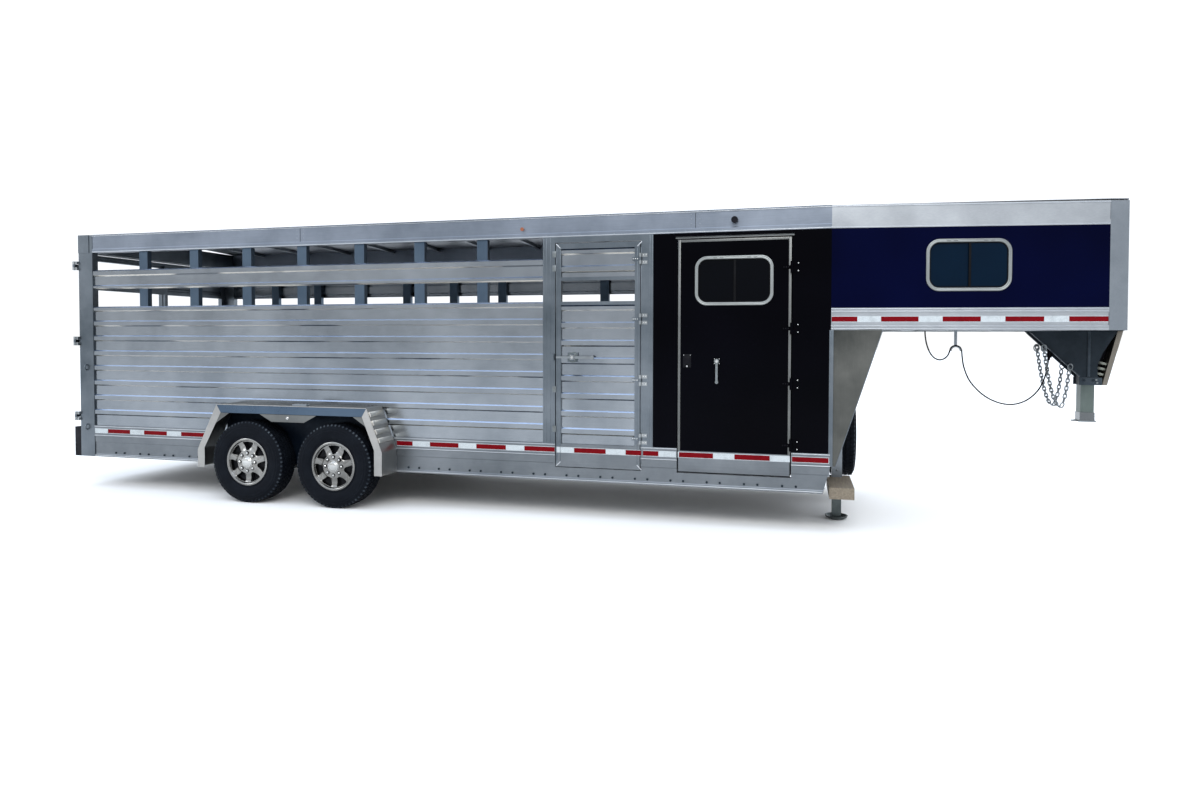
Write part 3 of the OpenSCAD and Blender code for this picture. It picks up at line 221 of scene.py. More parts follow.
class Paint:
    """A node material with one Principled shader and a few short ways to drive it."""

    def __init__(self, name):
        self.material = bpy.data.materials.new(name)
        self.material.use_nodes = True
        self.tree = self.material.node_tree
        self.shader = self.tree.nodes["Principled BSDF"]
        self.bumps = None

    def feed(self, node, key, value):
        """Links a socket to an input, or sets the input to a value."""
        if isinstance(value, bpy.types.NodeSocket):
            self.tree.links.new(value, node.inputs[key])
        else:
            node.inputs[key].default_value = value

    def node(self, kind, inputs=(), **settings):
        node = self.tree.nodes.new(kind)
        for key, value in settings.items():
            setattr(node, key, value)
        for key, value in dict(inputs).items():
            self.feed(node, key, value)
        return node

    def set(self, **values):
        for key, value in values.items():
            self.feed(self.shader, key.replace("_", " "), value)

    def place(self, scale, turn=(0, 0, 0)):
        """Object coordinates, which are the row frame's metres, stretched for grain."""
        metres = self.node("ShaderNodeTexCoord").outputs["Object"]
        mapped = {"Vector": metres, "Scale": scale, "Rotation": turn}
        return self.node("ShaderNodeMapping", mapped).outputs["Vector"]

    def noise(self, scale, detail, rough, stretch=(1, 1, 1)):
        inputs = {"Scale": scale, "Detail": detail, "Roughness": rough}
        inputs["Vector"] = self.place(stretch)
        return self.node("ShaderNodeTexNoise", inputs).outputs["Fac"]

    @staticmethod
    def rgba(color):
        """A grey or a colour as four numbers; a socket stays what it is."""
        if isinstance(color, bpy.types.NodeSocket):
            return color
        return (color, color, color, 1) if isinstance(color, (int, float)) else (*color, 1)

    def ramp(self, value, stops):
        node = self.node("ShaderNodeValToRGB", {"Fac": value})
        elements = node.color_ramp.elements
        for i in (0, -1):
            elements[i].position, elements[i].color = stops[i][0], self.rgba(stops[i][1])
        for place, color in stops[1:-1]:
            elements.new(place).color = self.rgba(color)
        return node.outputs["Color"]

    def mix(self, factor, a, b, blend="MIX"):
        inputs = {0: factor, 6: self.rgba(a), 7: self.rgba(b)}
        return self.node("ShaderNodeMix", inputs, data_type="RGBA", blend_type=blend).outputs[2]

    def math(self, operation, a, b):
        return self.node("ShaderNodeMath", {0: a, 1: b}, operation=operation).outputs[0]

    def color(self, value):
        self.feed(self.shader, "Base Color", value)

    def rough(self, value, low, high):
        """Roughness that runs from low to high with a 0 to 1 value."""
        node = self.node("ShaderNodeMapRange", {"Value": value, "To Min": low, "To Max": high})
        self.feed(self.shader, "Roughness", node.outputs["Result"])

    def bump(self, value, strength, distance):
        """Adds a bump on top of the ones before it."""
        inputs = {"Height": value, "Strength": strength, "Distance": distance}
        if self.bumps is not None:
            inputs["Normal"] = self.bumps
        self.bumps = self.node("ShaderNodeBump", inputs).outputs["Normal"]
        self.feed(self.shader, "Normal", self.bumps)


def paint_slope_reflections(p, color):
    """Painted reflections on ribs: pale blue on facets leaning up, dark with warm glints on those
    leaning down.
    """
    normal = p.node("ShaderNodeNewGeometry").outputs["True Normal"]
    height = p.node("ShaderNodeSeparateXYZ", {0: normal}).outputs["Z"]
    lean = [(0.2, 0), (0.5, 1)]
    # painted reflection colours: pale blue for facets leaning up, dark for those leaning down, and
    # warm glints
    painted_upper_reflection, painted_lower_reflection, painted_warm_glint = (0.30, 0.36, 0.47), (0.12, 0.13, 0.14), (0.56, 0.53, 0.47)
    painted_glint_patches = p.ramp(p.noise(1.5, 2, 0.5, (1, 1, 9)), [(0.38, painted_lower_reflection), (0.47, painted_warm_glint)])
    down = p.ramp(p.math("MULTIPLY", height, -1.0), lean)
    return p.mix(down, p.mix(p.ramp(height, lean), color, painted_upper_reflection), painted_glint_patches)


ALONG, UPWARD = (0.6, 30, 30), (30, 30, 0.6)


def aluminium(name, light, dark, low, high, grain=ALONG, stain=0.25, bump=0.12, painted_reflections=False):
    """Mill aluminium: long grain lines, soft stains and an uneven shine."""
    p = Paint(name)
    p.set(Metallic=1.0)
    lines = p.noise(9, 5, 0.6, grain)
    clouds = p.noise(1.7, 5, 0.6)
    spots = p.noise(14, 3, 0.7)
    tone = p.mix(p.ramp(clouds, [(0.3, 0), (0.72, 1)]), dark, light)
    tone = p.mix(1.0, tone, p.ramp(lines, [(0.25, 0.86), (0.75, 1.0)]), "MULTIPLY")
    # rib slopes can get painted reflections and warm glints over the metal's tone
    p.color(paint_slope_reflections(p, tone) if painted_reflections else tone)
    stained = p.math("MULTIPLY", spots, stain)
    p.rough(p.math("ADD", stained, p.math("MULTIPLY", clouds, 1 - stain)), low, high)
    p.bump(lines, bump, 0.0006)
    return p.material


def painted(name, base, tint):
    """Gloss painted sheet with a faint waviness and a film of dust."""
    p = Paint(name)
    p.set(Metallic=0.0, Specular_IOR_Level=0.02)
    waves = p.noise(1.1, 2, 0.5)
    dust = p.noise(22, 6, 0.7)
    p.color(p.mix(p.ramp(waves, [(0.35, 0), (0.7, 1)]), base, tint))
    p.rough(p.ramp(dust, [(0.4, 0), (0.8, 1)]), 0.08, 0.20)
    p.bump(waves, 0.18, 0.004)
    p.bump(dust, 0.03, 0.0003)
    return p.material


def rubber(name, dark, light, low=0.55, high=0.85):
    p = Paint(name)
    p.set(Specular_IOR_Level=0.08)
    fine = p.noise(260, 3, 0.6)
    dust = p.noise(9, 5, 0.6)
    p.color(p.mix(p.ramp(dust, [(0.42, 0), (0.75, 1)]), dark, light))
    p.rough(dust, low, high)
    p.bump(fine, 0.25, 0.0006)
    return p.material


def coated_steel(name, base, worn, low, high, metallic):
    """Painted or plated steel with a fine orange peel and rubbed patches."""
    p = Paint(name)
    p.set(Metallic=metallic, Specular_IOR_Level=0.10)
    patch = p.noise(6, 6, 0.65)
    peel = p.noise(180, 2, 0.5)
    p.color(p.mix(p.ramp(patch, [(0.45, 0), (0.8, 1)]), base, worn))
    p.rough(patch, low, high)
    p.bump(peel, 0.12, 0.0005)
    return p.material


def tinted_glass(name, base, tint):
    p = Paint(name)
    p.set(Metallic=0.0, Specular_IOR_Level=0.05)
    haze = p.noise(2.2, 3, 0.5)
    p.color(p.mix(haze, base, tint))
    p.rough(p.noise(18, 4, 0.6), 0.03, 0.11)
    return p.material


def tape(name, base):
    """Prismatic tape: a fine diamond lattice sealed in small cells."""
    p = Paint(name)
    p.set(Specular_IOR_Level=0.05)
    cells = {"Vector": p.place((1, 1, 1), (0, radians(45), 0)), "Scale": 420}
    lattice = p.node("ShaderNodeTexVoronoi", cells, feature="DISTANCE_TO_EDGE")
    edge = p.ramp(lattice.outputs["Distance"], [(0.0, 0), (0.12, 1)])
    dirt = p.noise(16, 5, 0.6)
    dark = [c * 0.55 for c in base]
    p.color(p.mix(p.ramp(dirt, [(0.5, 0), (0.85, 1)]), p.mix(edge, dark, base), dark))
    p.rough(dirt, 0.22, 0.45)
    p.bump(edge, 0.3, 0.0002)
    return p.material


def timber(name):
    p = Paint(name)
    grain = p.noise(5, 6, 0.65, (14, 1.2, 14))
    p.color(p.ramp(grain, [(0.2, (0.07, 0.055, 0.040)), (0.55, (0.155, 0.128, 0.092)),
                           (0.85, (0.22, 0.19, 0.14))]))
    p.rough(grain, 0.6, 0.9)
    p.bump(grain, 0.5, 0.002)
    return p.material


def lens(name, color):
    p = Paint(name)
    p.set(Coat_Weight=0.8, Coat_Roughness=0.05, Transmission_Weight=0.25)
    flutes = p.noise(320, 1, 0.4)
    p.color(p.mix(flutes, [c * 0.7 for c in color], color))
    p.rough(flutes, 0.1, 0.25)
    p.bump(flutes, 0.2, 0.0005)
    return p.material


MILL = aluminium("mill_aluminium", (0.26, 0.28, 0.30), (0.17, 0.19, 0.21), 0.26, 0.46)
UPRIGHT = aluminium("upright_aluminium", (0.165, 0.185, 0.205), (0.075, 0.090, 0.103), 0.24, 0.44,
                    UPWARD, bump=0.2)
RAIL = aluminium("rail_aluminium", (0.215, 0.240, 0.280), (0.130, 0.150, 0.180), 0.26, 0.48,
                 stain=0.45)
LOW_RAIL = aluminium("bottom_rail_aluminium", (0.195, 0.210, 0.225), (0.110, 0.122, 0.133),
                     0.26, 0.48, stain=0.5)
# the nose rails' aluminium, also put on the rail beads, where its extra brightness is a painted
# highlight
NOSE_RAIL_AND_BEAD_HIGHLIGHT = aluminium("nose_rail_aluminium", (0.39, 0.405, 0.42), (0.27, 0.285, 0.30), 0.26, 0.48)
POST = aluminium("post_aluminium", (0.080, 0.110, 0.145), (0.050, 0.072, 0.100), 0.3, 0.5, UPWARD)
# the corrugated sheet's rib slopes carry painted reflections and warm glints
SHEET = aluminium("ribbed_sheet", (0.270, 0.290, 0.310), (0.165, 0.182, 0.200), 0.15, 0.30,
                  bump=0.10, painted_reflections=True)
ROOF = aluminium("roof_sheet", (0.41, 0.42, 0.44), (0.36, 0.37, 0.39), 0.3, 0.5, bump=0.05)
TREAD = aluminium("tread_plate", (0.42, 0.41, 0.39), (0.27, 0.265, 0.255), 0.24, 0.42, bump=0.08)
# a blue-grey for the fenders' face band: a painted reflection of the blue overhead
FENDER_FACE_PAINTED_REFLECTION = aluminium("fender_face_painted_reflection", (0.085, 0.120, 0.165), (0.055, 0.080, 0.115), 0.2, 0.36)
ALLOY = aluminium("wheel_alloy", (0.34, 0.335, 0.32), (0.155, 0.152, 0.145), 0.14, 0.28,
                  (6, 6, 6), bump=0.05)
TRIM = aluminium("gusset_aluminium", (0.125, 0.125, 0.115), (0.045, 0.047, 0.044), 0.28, 0.46,
                 (30, 30, 0.8))
DOOR_TRIM = aluminium("door_trim", (0.175, 0.178, 0.172), (0.095, 0.098, 0.096), 0.3, 0.5,
                      (30, 30, 0.8))
WINDOW_RIM = aluminium("window_rim", (0.25, 0.262, 0.256), (0.17, 0.178, 0.174), 0.34, 0.50,
                       bump=0.04)
WELD = aluminium("weld_bead", (0.62, 0.63, 0.65), (0.40, 0.41, 0.43), 0.25, 0.45, (40, 40, 40),
                 bump=0.3)
CHROME = aluminium("bright_fastener", (0.62, 0.62, 0.60), (0.42, 0.42, 0.41), 0.08, 0.22,
                   (8, 8, 8), bump=0.04)
HINGE = aluminium("hinge_zinc", (0.33, 0.345, 0.35), (0.21, 0.225, 0.23), 0.2, 0.4)
# a far brighter copy of the tread aluminium for the fender legs' ribs: the ribs are real, their
# extra brightness a painted highlight
FENDER_RIB_HIGHLIGHT = aluminium("fender_rib", (0.66, 0.645, 0.60), (0.46, 0.45, 0.42), 0.22, 0.38)
BARE_BAR = aluminium("bare_bar", (0.205, 0.185, 0.155), (0.125, 0.112, 0.095), 0.35, 0.55)
COUPLER_STEEL = aluminium("coupler_steel", (0.125, 0.150, 0.138), (0.070, 0.085, 0.080),
                          0.32, 0.5, (14, 14, 0.8))
SOCKET = aluminium("socket_steel", (0.155, 0.160, 0.160), (0.060, 0.065, 0.068), 0.08, 0.22,
                   (30, 30, 8))
SKIN = painted("black_skin", (0.0006, 0.0006, 0.0012), (0.0010, 0.0010, 0.0022))
NAVY = painted("navy_skin", (0.0004, 0.0008, 0.0085), (0.0006, 0.0014, 0.0150))
TYRE = rubber("tyre_rubber", (0.0014, 0.0024, 0.0046), (0.0040, 0.0056, 0.0086))
TYRE_EDGE = rubber("tyre_edge", (0.012, 0.016, 0.022), (0.055, 0.066, 0.076))
BUMPER = rubber("bumper_rubber", (0.008, 0.008, 0.010), (0.020, 0.020, 0.023))
GASKET = rubber("gasket_rubber", (0.0015, 0.0015, 0.002), (0.004, 0.004, 0.005))
JACKET = rubber("cable_jacket", (0.001, 0.001, 0.0014), (0.002, 0.002, 0.0025), 0.4, 0.6)
DARK_STEEL = coated_steel("dark_steel", (0.0085, 0.0135, 0.0185), (0.018, 0.025, 0.032),
                          0.34, 0.55, 0.0)
BLACK_STEEL = coated_steel("black_steel", (0.0015, 0.0015, 0.003), (0.004, 0.004, 0.007),
                           0.3, 0.5, 0.0)
# near-black painted shade for the shadowed space behind the wheels, under the fenders
WHEEL_SHADE_PAINT = coated_steel("wheel_well", (0.0025, 0.0050, 0.0100), (0.010, 0.016, 0.024), 0.3, 0.5, 0.3)
NECK_EDGE = coated_steel("neck_edge", (0.022, 0.030, 0.038), (0.055, 0.066, 0.076), 0.3, 0.5, 0.2)
ZINC = coated_steel("zinc_steel", (0.19, 0.205, 0.215), (0.09, 0.10, 0.09), 0.22, 0.45, 0.95)
GREASED = coated_steel("jack_steel", (0.085, 0.098, 0.098), (0.040, 0.050, 0.052), 0.28, 0.5, 0.85)
POCKET_PAINT = coated_steel("pocket_paint", (0.006, 0.0065, 0.008), (0.018, 0.018, 0.020),
                            0.35, 0.55, 0.3)
PALE_PLASTIC = coated_steel("pale_plastic", (0.26, 0.27, 0.23), (0.36, 0.37, 0.33),
                            0.35, 0.55, 0.0)
GLASS = tinted_glass("dark_glass", (0.0004, 0.0035, 0.0100), (0.0008, 0.0070, 0.0170))
BLACK_GLASS = tinted_glass("black_glass", (0.0003, 0.0005, 0.0012), (0.0005, 0.0009, 0.0020))
RED_TAPE = tape("red_tape", (0.135, 0.0010, 0.0040))
WHITE_TAPE = tape("white_tape", (0.44, 0.475, 0.49))
TIMBER = timber("weathered_timber")
AMBER = lens("amber_lens", (0.26, 0.055, 0.008))
RED_LENS = lens("red_lens", (0.40, 0.008, 0.008))

# Which CAD nodes have which material; the ones that a visual piece replaces have it too
NODE_MATERIALS = (
    (MILL, "cross_members roof_bows tack_bulkhead front_wall nose_floor"),
    (MILL, "nose_corner_posts jack_housing"),
    (TREAD, "floor_deck fenders"),
    (LOW_RAIL, "bottom_rails"),
    (RAIL, "top_rails"),
    (NOSE_RAIL_AND_BEAD_HIGHLIGHT, "nose_bottom_rails nose_top_rails"),
    (POST, "side_posts"),
    (UPRIGHT, "rear_frame door_jambs stock_door_frame gate_frame gate_slider"),
    (SHEET, "side_panels stock_door_panel"),
    (ROOF, "roof_skin"),
    (TRIM, "step_gussets"),
    (TIMBER, "front_beam"),
    (BUMPER, "rear_bumper"),
    (SKIN, "tack_skins tack_door"),
    (NAVY, "nose_skins nose_front"),
    (WINDOW_RIM, "nose_window_frames tack_window_frame"),
    (GLASS, "nose_glass nose_pane"),
    (BLACK_GLASS, "tack_glass tack_pane"),
    (HINGE, "hinge_leaves"),
    (DARK_STEEL, "axles gooseneck_neck spare_mount"),
    (COUPLER_STEEL, "coupler_tube"),
    (GREASED, "jack_leg"),
    (ZINC, "coupler_latch safety_chains jack_crank stock_latch tack_handle gate_latch"),
    (AMBER, "lamps"),
    (JACKET, "trailer_plug"),
    (TYRE, "spare_tyre " + " ".join("tyre_" + wheel for wheel in WHEELS)),
    (ALLOY, "spare_rim " + " ".join("rim_" + wheel for wheel in WHEELS)),
)
NODE_SMOOTH = 28

for node_material, node_names in NODE_MATERIALS:
    for node_name in node_names.split():
        node_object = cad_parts[node_name]
        node_object.data.materials.clear()
        node_object.data.materials.append(node_material)
        shade(node_object, NODE_SMOOTH)


# ---- the cable under the nose ----

CORD_RADIUS, CORD_STEPS = 0.006, 6
# The route's points, in millimetres ahead of the step, from the floor over its saddle to the neck
CORD_ROUTE = [
    (840, 1607), (843, 1560), (853, 1500), (872, 1440), (896, 1396), (926, 1366), (964, 1354),
    (1002, 1366), (1030, 1396), (1044, 1432), (1058, 1466), (1092, 1480), (1126, 1466),
    (1140, 1432), (1146, 1376), (1160, 1292), (1200, 1186), (1268, 1096), (1350, 1028),
    (1444, 985), (1540, 973), (1628, 996), (1700, 1046), (1756, 1116), (1792, 1200),
    (1812, 1290), (1822, 1360),
]


def smooth_route(points, steps):
    """Points on a smooth curve through the chosen ones."""
    out = []
    for i in range(len(points) - 1):
        a, b = points[max(i - 1, 0)], points[i]
        c, d = points[i + 1], points[min(i + 2, len(points) - 1)]
        for k in range(steps):
            t = k / steps
            out.append(0.5 * (2 * b + (c - a) * t + (2 * a - 5 * b + 4 * c - d) * t * t
                              + (3 * b - a - 3 * c + d) * t ** 3))
    return out + [points[-1]]


def make_cord():
    points = [Vector((S(x / 1000), 0, z / 1000)) for x, z in CORD_ROUTE]
    path = smooth_route(points, CORD_STEPS)
    curve = bpy.data.curves.new("lighting_cable", "CURVE")
    curve.dimensions = "3D"
    curve.bevel_depth = CORD_RADIUS
    curve.bevel_resolution = 4
    spline = curve.splines.new("POLY")
    spline.points.add(len(path) - 1)
    for point, place in zip(spline.points, path):
        point.co = (*place, 1)
    curve.materials.append(JACKET)
    cable = bpy.data.objects.new("lighting_cable", curve)
    bpy.context.scene.collection.objects.link(cable)
    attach(cable, "trailer")
    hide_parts("trailer_cord")


make_cord()


# ---- reflective tape ----

TAPE_LOW, TAPE_HIGH = RAIL_TOP - 0.077, RAIL_TOP - 0.028
NOSE_TAPE_LOW, NOSE_TAPE_HIGH = NOSE_LOW + 0.062, NOSE_LOW + 0.109
TAPE_PITCH, NOSE_TAPE_PITCH, RED_LEN = 0.451, 0.457, 0.279
TAPE_T, TAPE_BORDER, SHORTEST_MARK = 0.0006, 0.004, 0.012


def tape_strip(name, body, spans, marks, low, high, matrix):
    """A pale strip along each span with red bars on it; matrix puts wall coordinates in place."""
    pale, red = bmesh.new(), bmesh.new()
    for start, end in spans:
        add_box(pale, (start, low, 0), (end, high, TAPE_T), matrix=matrix)
        for mark in marks:
            a, b = max(mark, start), min(mark + RED_LEN, end)
            if b - a > SHORTEST_MARK:
                add_box(red, (a, low + TAPE_BORDER, TAPE_T), (b, high - TAPE_BORDER, 2 * TAPE_T),
                        matrix=matrix)
    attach(finish_mesh(name + "_pale", pale, WHITE_TAPE), body)
    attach(finish_mesh(name + "_red", red, RED_TAPE), body)


def add_tape():
    marks = [S(-0.289 - TAPE_PITCH * k) for k in range(17)]
    gap, margin = 0.012, 0.004
    rear, ahead = (WALL_X + 0.006, FENDER_LOW.x - margin), FENDER_HIGH.x + margin
    wall, door, end = on_right(), on_right(out=0.001), STEP_X - 0.006
    right = [rear, (ahead, STOCK_X0 - gap), (STOCK_X1 + gap, TACK_X0 - gap), (TACK_X1 + gap, end)]
    for name, body, spans, matrix in (
            ("right", "trailer", right, wall),
            ("left", "trailer", [rear, (ahead, end)], mirror_y(wall)),
            ("stock_door", "stock_door", [(STOCK_X0 + 0.002, STOCK_X1 - 0.002)], door),
            ("tack_door", "tack_door", [(TACK_X0 + 0.002, TACK_X1 - 0.002)], door)):
        tape_strip("tape_" + name, body, spans, marks, TAPE_LOW, TAPE_HIGH, matrix)
    marks = [NOSE_SIDE - NOSE_TAPE_PITCH * k - RED_LEN for k in range(5)]
    spans = [(0.004, NOSE_SIDE - 0.002)]
    wall = on_nose(out=-0.004)
    for side, matrix in (("right", wall), ("left", mirror_y(wall))):
        tape_strip("nose_tape_" + side, "trailer", spans, marks, NOSE_TAPE_LOW, NOSE_TAPE_HIGH,
                   matrix)


add_tape()


# ---- bolts, seams and trim on the walls ----

def add_rail_bolts():
    """Pairs of bolts through the lower flange of both bottom rails."""
    bm = bmesh.new()
    for side in SIDES:
        for k in range(23):
            for dx in (-0.053, 0.053):
                place = (S(-0.31 - 0.30 * k + dx), side * (HALF_W - 0.008), RAIL_LOW + 0.046)
                add_hex(bm, place, 0.0105, 0.007, side)
    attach(finish_mesh("rail_bolts", bm, DARK_STEEL, 30), "trailer")


def add_top_rail_trim():
    """Dark joint lines with rivets in the top rails, and a lip under the roof's edge."""
    seam, rivets, lip = bmesh.new(), bmesh.new(), bmesh.new()
    face, half, pitch = HALF_W - 0.003, 0.0018, 0.15
    for side in SIDES:
        for x in (S(-4.777), S(-1.064)):
            add_side_box(seam, side, (x - half, x + half), (face, face + 0.0012),
                         (TOP_RAIL_LOW + 0.004, TOP_RAIL_TOP - 0.016))
            for dx in (-0.035, 0.035):
                for k in range(4):
                    place = (x + dx, side * face, TOP_RAIL_LOW + 0.035 + 0.038 * k)
                    add_dome(rivets, place, 0.0055, 0.003, "Y", side, 10)
        add_side_box(lip, side, (WALL_X, STEP_X), (HALF_W - 0.002, HALF_W + 0.005),
                     (TOP_RAIL_TOP - 0.004, TOP_RAIL_TOP + 0.002), 0.0015)
        for k in range(int((STEP_X - WALL_X) / pitch)):
            place = (WALL_X + 0.08 + k * pitch, side * HALF_W, TOP_RAIL_LOW + 0.014)
            add_dome(rivets, place, 0.0045, 0.0022, "Y", side, 8)
    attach(finish_mesh("top_rail_joints", seam, BLACK_STEEL), "trailer")
    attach(finish_mesh("top_rail_rivets", rivets, MILL, 40), "trailer")
    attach(finish_mesh("roof_edge_lips", lip, RAIL, 30), "trailer")


def add_bead(bm, z, start, end, radius, matrix):
    """A half-round bead along a wall at one height, between two places along it."""
    turns = [radians(-90 + 30 * i) for i in range(7)]
    rows = []
    for x in (start, end):
        rows.append([bm.verts.new(matrix @ Vector((x, z + radius * sin(a), radius * cos(a))))
                     for a in turns])
    for a, b, c, d in zip(rows[0], rows[0][1:], rows[1][1:], rows[1]):
        bm.faces.new((a, b, c, d))
    for row in rows:
        bm.faces.new(row)


def add_beads():
    """Rounded beads along the rails' edges, in a brighter metal that paints highlight lines on the
    extrusions.
    """
    bm = bmesh.new()
    between_doors = [(WALL_X, S(-2.264)), (S(-1.514), S(-1.211)), (S(-0.295), STEP_X)]
    top = (TOP_RAIL_LOW + 0.007, TOP_RAIL_TOP - 0.010)
    whole = Matrix.Identity(4)
    for turn, spans in ((whole, between_doors), (mirror_y(whole), [(WALL_X, STEP_X)])):
        wall, nose = turn @ on_right(out=-0.0035), turn @ on_nose(out=-0.0035)
        add_bead(bm, RAIL_LOW + 0.011, WALL_X, STEP_X - 0.055, 0.006, wall)
        for z in (RAIL_TOP - 0.100, RAIL_TOP - 0.009):
            for a, b in spans:
                add_bead(bm, z, a, b, 0.006, wall)
        for z in top:
            add_bead(bm, z, WALL_X, STEP_X, 0.006, wall)
        for z in (NOSE_LOW + 0.009, NOSE_LOW + 0.030, NOSE_RAIL_TOP - 0.009, NOSE_RAIL_TOP - 0.028):
            add_bead(bm, z, 0, NOSE_SIDE - 0.002, 0.007, nose)
        for z in top:
            add_bead(bm, z, 0, NOSE_SIDE - 0.002, 0.006, nose)
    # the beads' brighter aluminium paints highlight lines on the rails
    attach(finish_mesh("rail_beads", bm, NOSE_RAIL_AND_BEAD_HIGHLIGHT, 60), "trailer")


def add_roof_seams():
    """Raised joints across the roof over every other bow, with a rivet row along each edge."""
    bm, rivets = bmesh.new(), bmesh.new()
    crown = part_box("roof_skin")[1].z - TOP_RAIL_TOP
    half = HALF_W - 0.004
    steps, pitch = 24, 0.2
    section = ((-0.022, -0.001), (-0.018, 0.0025), (0.018, 0.0025), (0.022, -0.001))

    def roof_at(y):
        return TOP_RAIL_TOP + crown * (1 - (y / (HALF_W - 0.002)) ** 2)

    for k in range(7):
        x = S(-0.06 - 1.22 * k)
        if x < WALL_X:
            continue
        rows = []
        for y in [-half + 2 * half * i / steps for i in range(steps + 1)]:
            rows.append([bm.verts.new((x + dx, y, roof_at(y) + dz)) for dx, dz in section])
        for a, b in zip(rows, rows[1:]):
            for i in range(3):
                bm.faces.new((a[i], a[i + 1], b[i + 1], b[i]))
    for side in SIDES:
        y = side * (HALF_W - 0.03)
        for k in range(int((STEP_X - WALL_X) / pitch)):
            add_dome(rivets, (WALL_X + 0.1 + pitch * k, y, roof_at(y)), 0.006, 0.003, "Z", 1, 8)
    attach(finish_mesh("roof_joints", bm, ROOF, 40), "trailer")
    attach(finish_mesh("roof_rivets", rivets, MILL, 40), "trailer")


def add_corner_strips():
    """Bright angle trim where the black skin ends at the step, on both sides."""
    bm = bmesh.new()
    for side in SIDES:
        add_side_box(bm, side, (STEP_X - 0.001, STEP_X + 0.02), (HALF_W - 0.026, HALF_W + 0.001),
                     (RAIL_TOP - 0.1, NOSE_LOW), 0.002)
        add_side_box(bm, side, (STEP_X - 0.012, STEP_X), (HALF_W, HALF_W + 0.0015),
                     (RAIL_TOP, NOSE_LOW), 0.0005)
    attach(finish_mesh("step_corner_trim", bm, UPRIGHT, 30), "trailer")


def sloping(x, y, z, foot_x, foot_z):
    """The matrix and length of a lip that runs from one place down to another at the same y."""
    run = Vector((foot_x, foot_z)) - Vector((x, z))
    turn = Matrix.Rotation(-atan2(run.y, run.x), 4, "Y")
    return Matrix.Translation((x, y, z)) @ turn, run.length


def add_gusset_edges():
    """Folded lips along the sloping edges of the gussets under the nose."""
    bm = bmesh.new()
    low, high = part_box("step_gussets")
    for side in SIDES:
        y = side * (high.y - 0.0125)
        matrix, length = sloping(STEP_X + 0.380, y, high.z, STEP_X + 0.040, low.z)
        add_box(bm, (0, -0.0145, 0), (length, 0.0145, 0.006), 0.002, matrix)
    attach(finish_mesh("gusset_lips", bm, UPRIGHT, 30), "trailer")


add_rail_bolts()
add_top_rail_trim()
add_beads()
add_roof_seams()
add_corner_strips()
add_gusset_edges()


# ---- windows ----

WINDOW_W, WINDOW_H, WINDOW_R, WINDOW_RING = 0.627, 0.402, 0.100, 0.028
# The rim's cross-section: distance in from its outer edge, and height out of the wall
RIM_SECTION = [(0, -0.001), (0.0005, 0.005), (0.004, 0.0085), (0.010, 0.0088), (0.0125, 0.0066),
               (0.0150, 0.0066), (0.0175, 0.0080), (0.0235, 0.0076), (0.0275, 0.0035),
               (WINDOW_RING, -0.020)]
SEAL_SECTION = [(0.0275, 0.003), (0.031, 0.0035), (0.0345, 0.001), (0.0345, -0.008)]
CORNER_STEPS = 10


def sweep_ring(bm, section, matrix):
    """Sweeps a section of (inset, out) round the rounded window."""
    far_x, far_y, near = WINDOW_W - WINDOW_R, WINDOW_H - WINDOW_R, WINDOW_R
    centres = ((far_x, far_y), (near, far_y), (near, near), (far_x, near))
    loops = []
    for inset, out in section:
        loop, r = [], WINDOW_R - inset
        for k, (x, y) in enumerate(centres):
            for a in [radians(90) * (k + i / CORNER_STEPS) for i in range(CORNER_STEPS + 1)]:
                loop.append(bm.verts.new(matrix @ Vector((x + r * cos(a), y + r * sin(a), out))))
        loops.append(loop)
    for a, b in zip(loops, loops[1:]):
        for i, j in zip(range(len(a)), [*range(1, len(a)), 0]):
            bm.faces.new((a[i], a[j], b[j], b[i]))


def add_window(name, body, matrix, replaced=None):
    rim, seal, drain = bmesh.new(), bmesh.new(), bmesh.new()
    sweep_ring(rim, RIM_SECTION, matrix)
    sweep_ring(seal, SEAL_SECTION, matrix)
    inner = WINDOW_RING + 0.002
    middle = WINDOW_W / 2 + 0.008
    add_box(seal, (middle - 0.009, inner, -0.003), (middle + 0.009, WINDOW_H - inner, 0.003),
            0.0015, matrix)
    add_box(seal, (0.06, inner, -0.003), (WINDOW_W - 0.06, inner + 0.006, 0.004), 0.001, matrix)
    for x in (0.15, 0.2, 0.42, 0.47):
        add_box(drain, (x, WINDOW_H - 0.018, 0.0074), (x + 0.03, WINDOW_H - 0.0155, 0.0082),
                0, matrix)
    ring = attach(finish_mesh(name + "_rim", rim, WINDOW_RIM, 50), body)
    if replaced:
        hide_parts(replaced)
    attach(finish_mesh(name + "_seal", seal, GASKET, 40), body)
    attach(finish_mesh(name + "_drains", drain, GASKET), body)


TACK_WINDOW = (S(-1.067), 1.806)
NOSE_WINDOW = (0.705, 1.905)
add_window("tack_window", "tack_door", on_right(*TACK_WINDOW), "tack_window_frame")
add_window("nose_window_right", "trailer", on_nose(*NOSE_WINDOW), "nose_window_frames")
add_window("nose_window_left", "trailer", mirror_y(on_nose(*NOSE_WINDOW)))


# ---- side doors ----

STOCK_LATCH, TACK_LEVER, SLAM_LATCH = (S(-2.106), 1.376), (S(-0.885), 1.355), (S(-1.128), 1.355)
STOCK_HINGE_ZS, TACK_HINGE_ZS = (0.700, 1.190, 1.700, 2.200), (0.690, 1.180, 1.620, 2.105)
KEEPER_ZS = (2.255, 2.135, 1.10, 0.76)


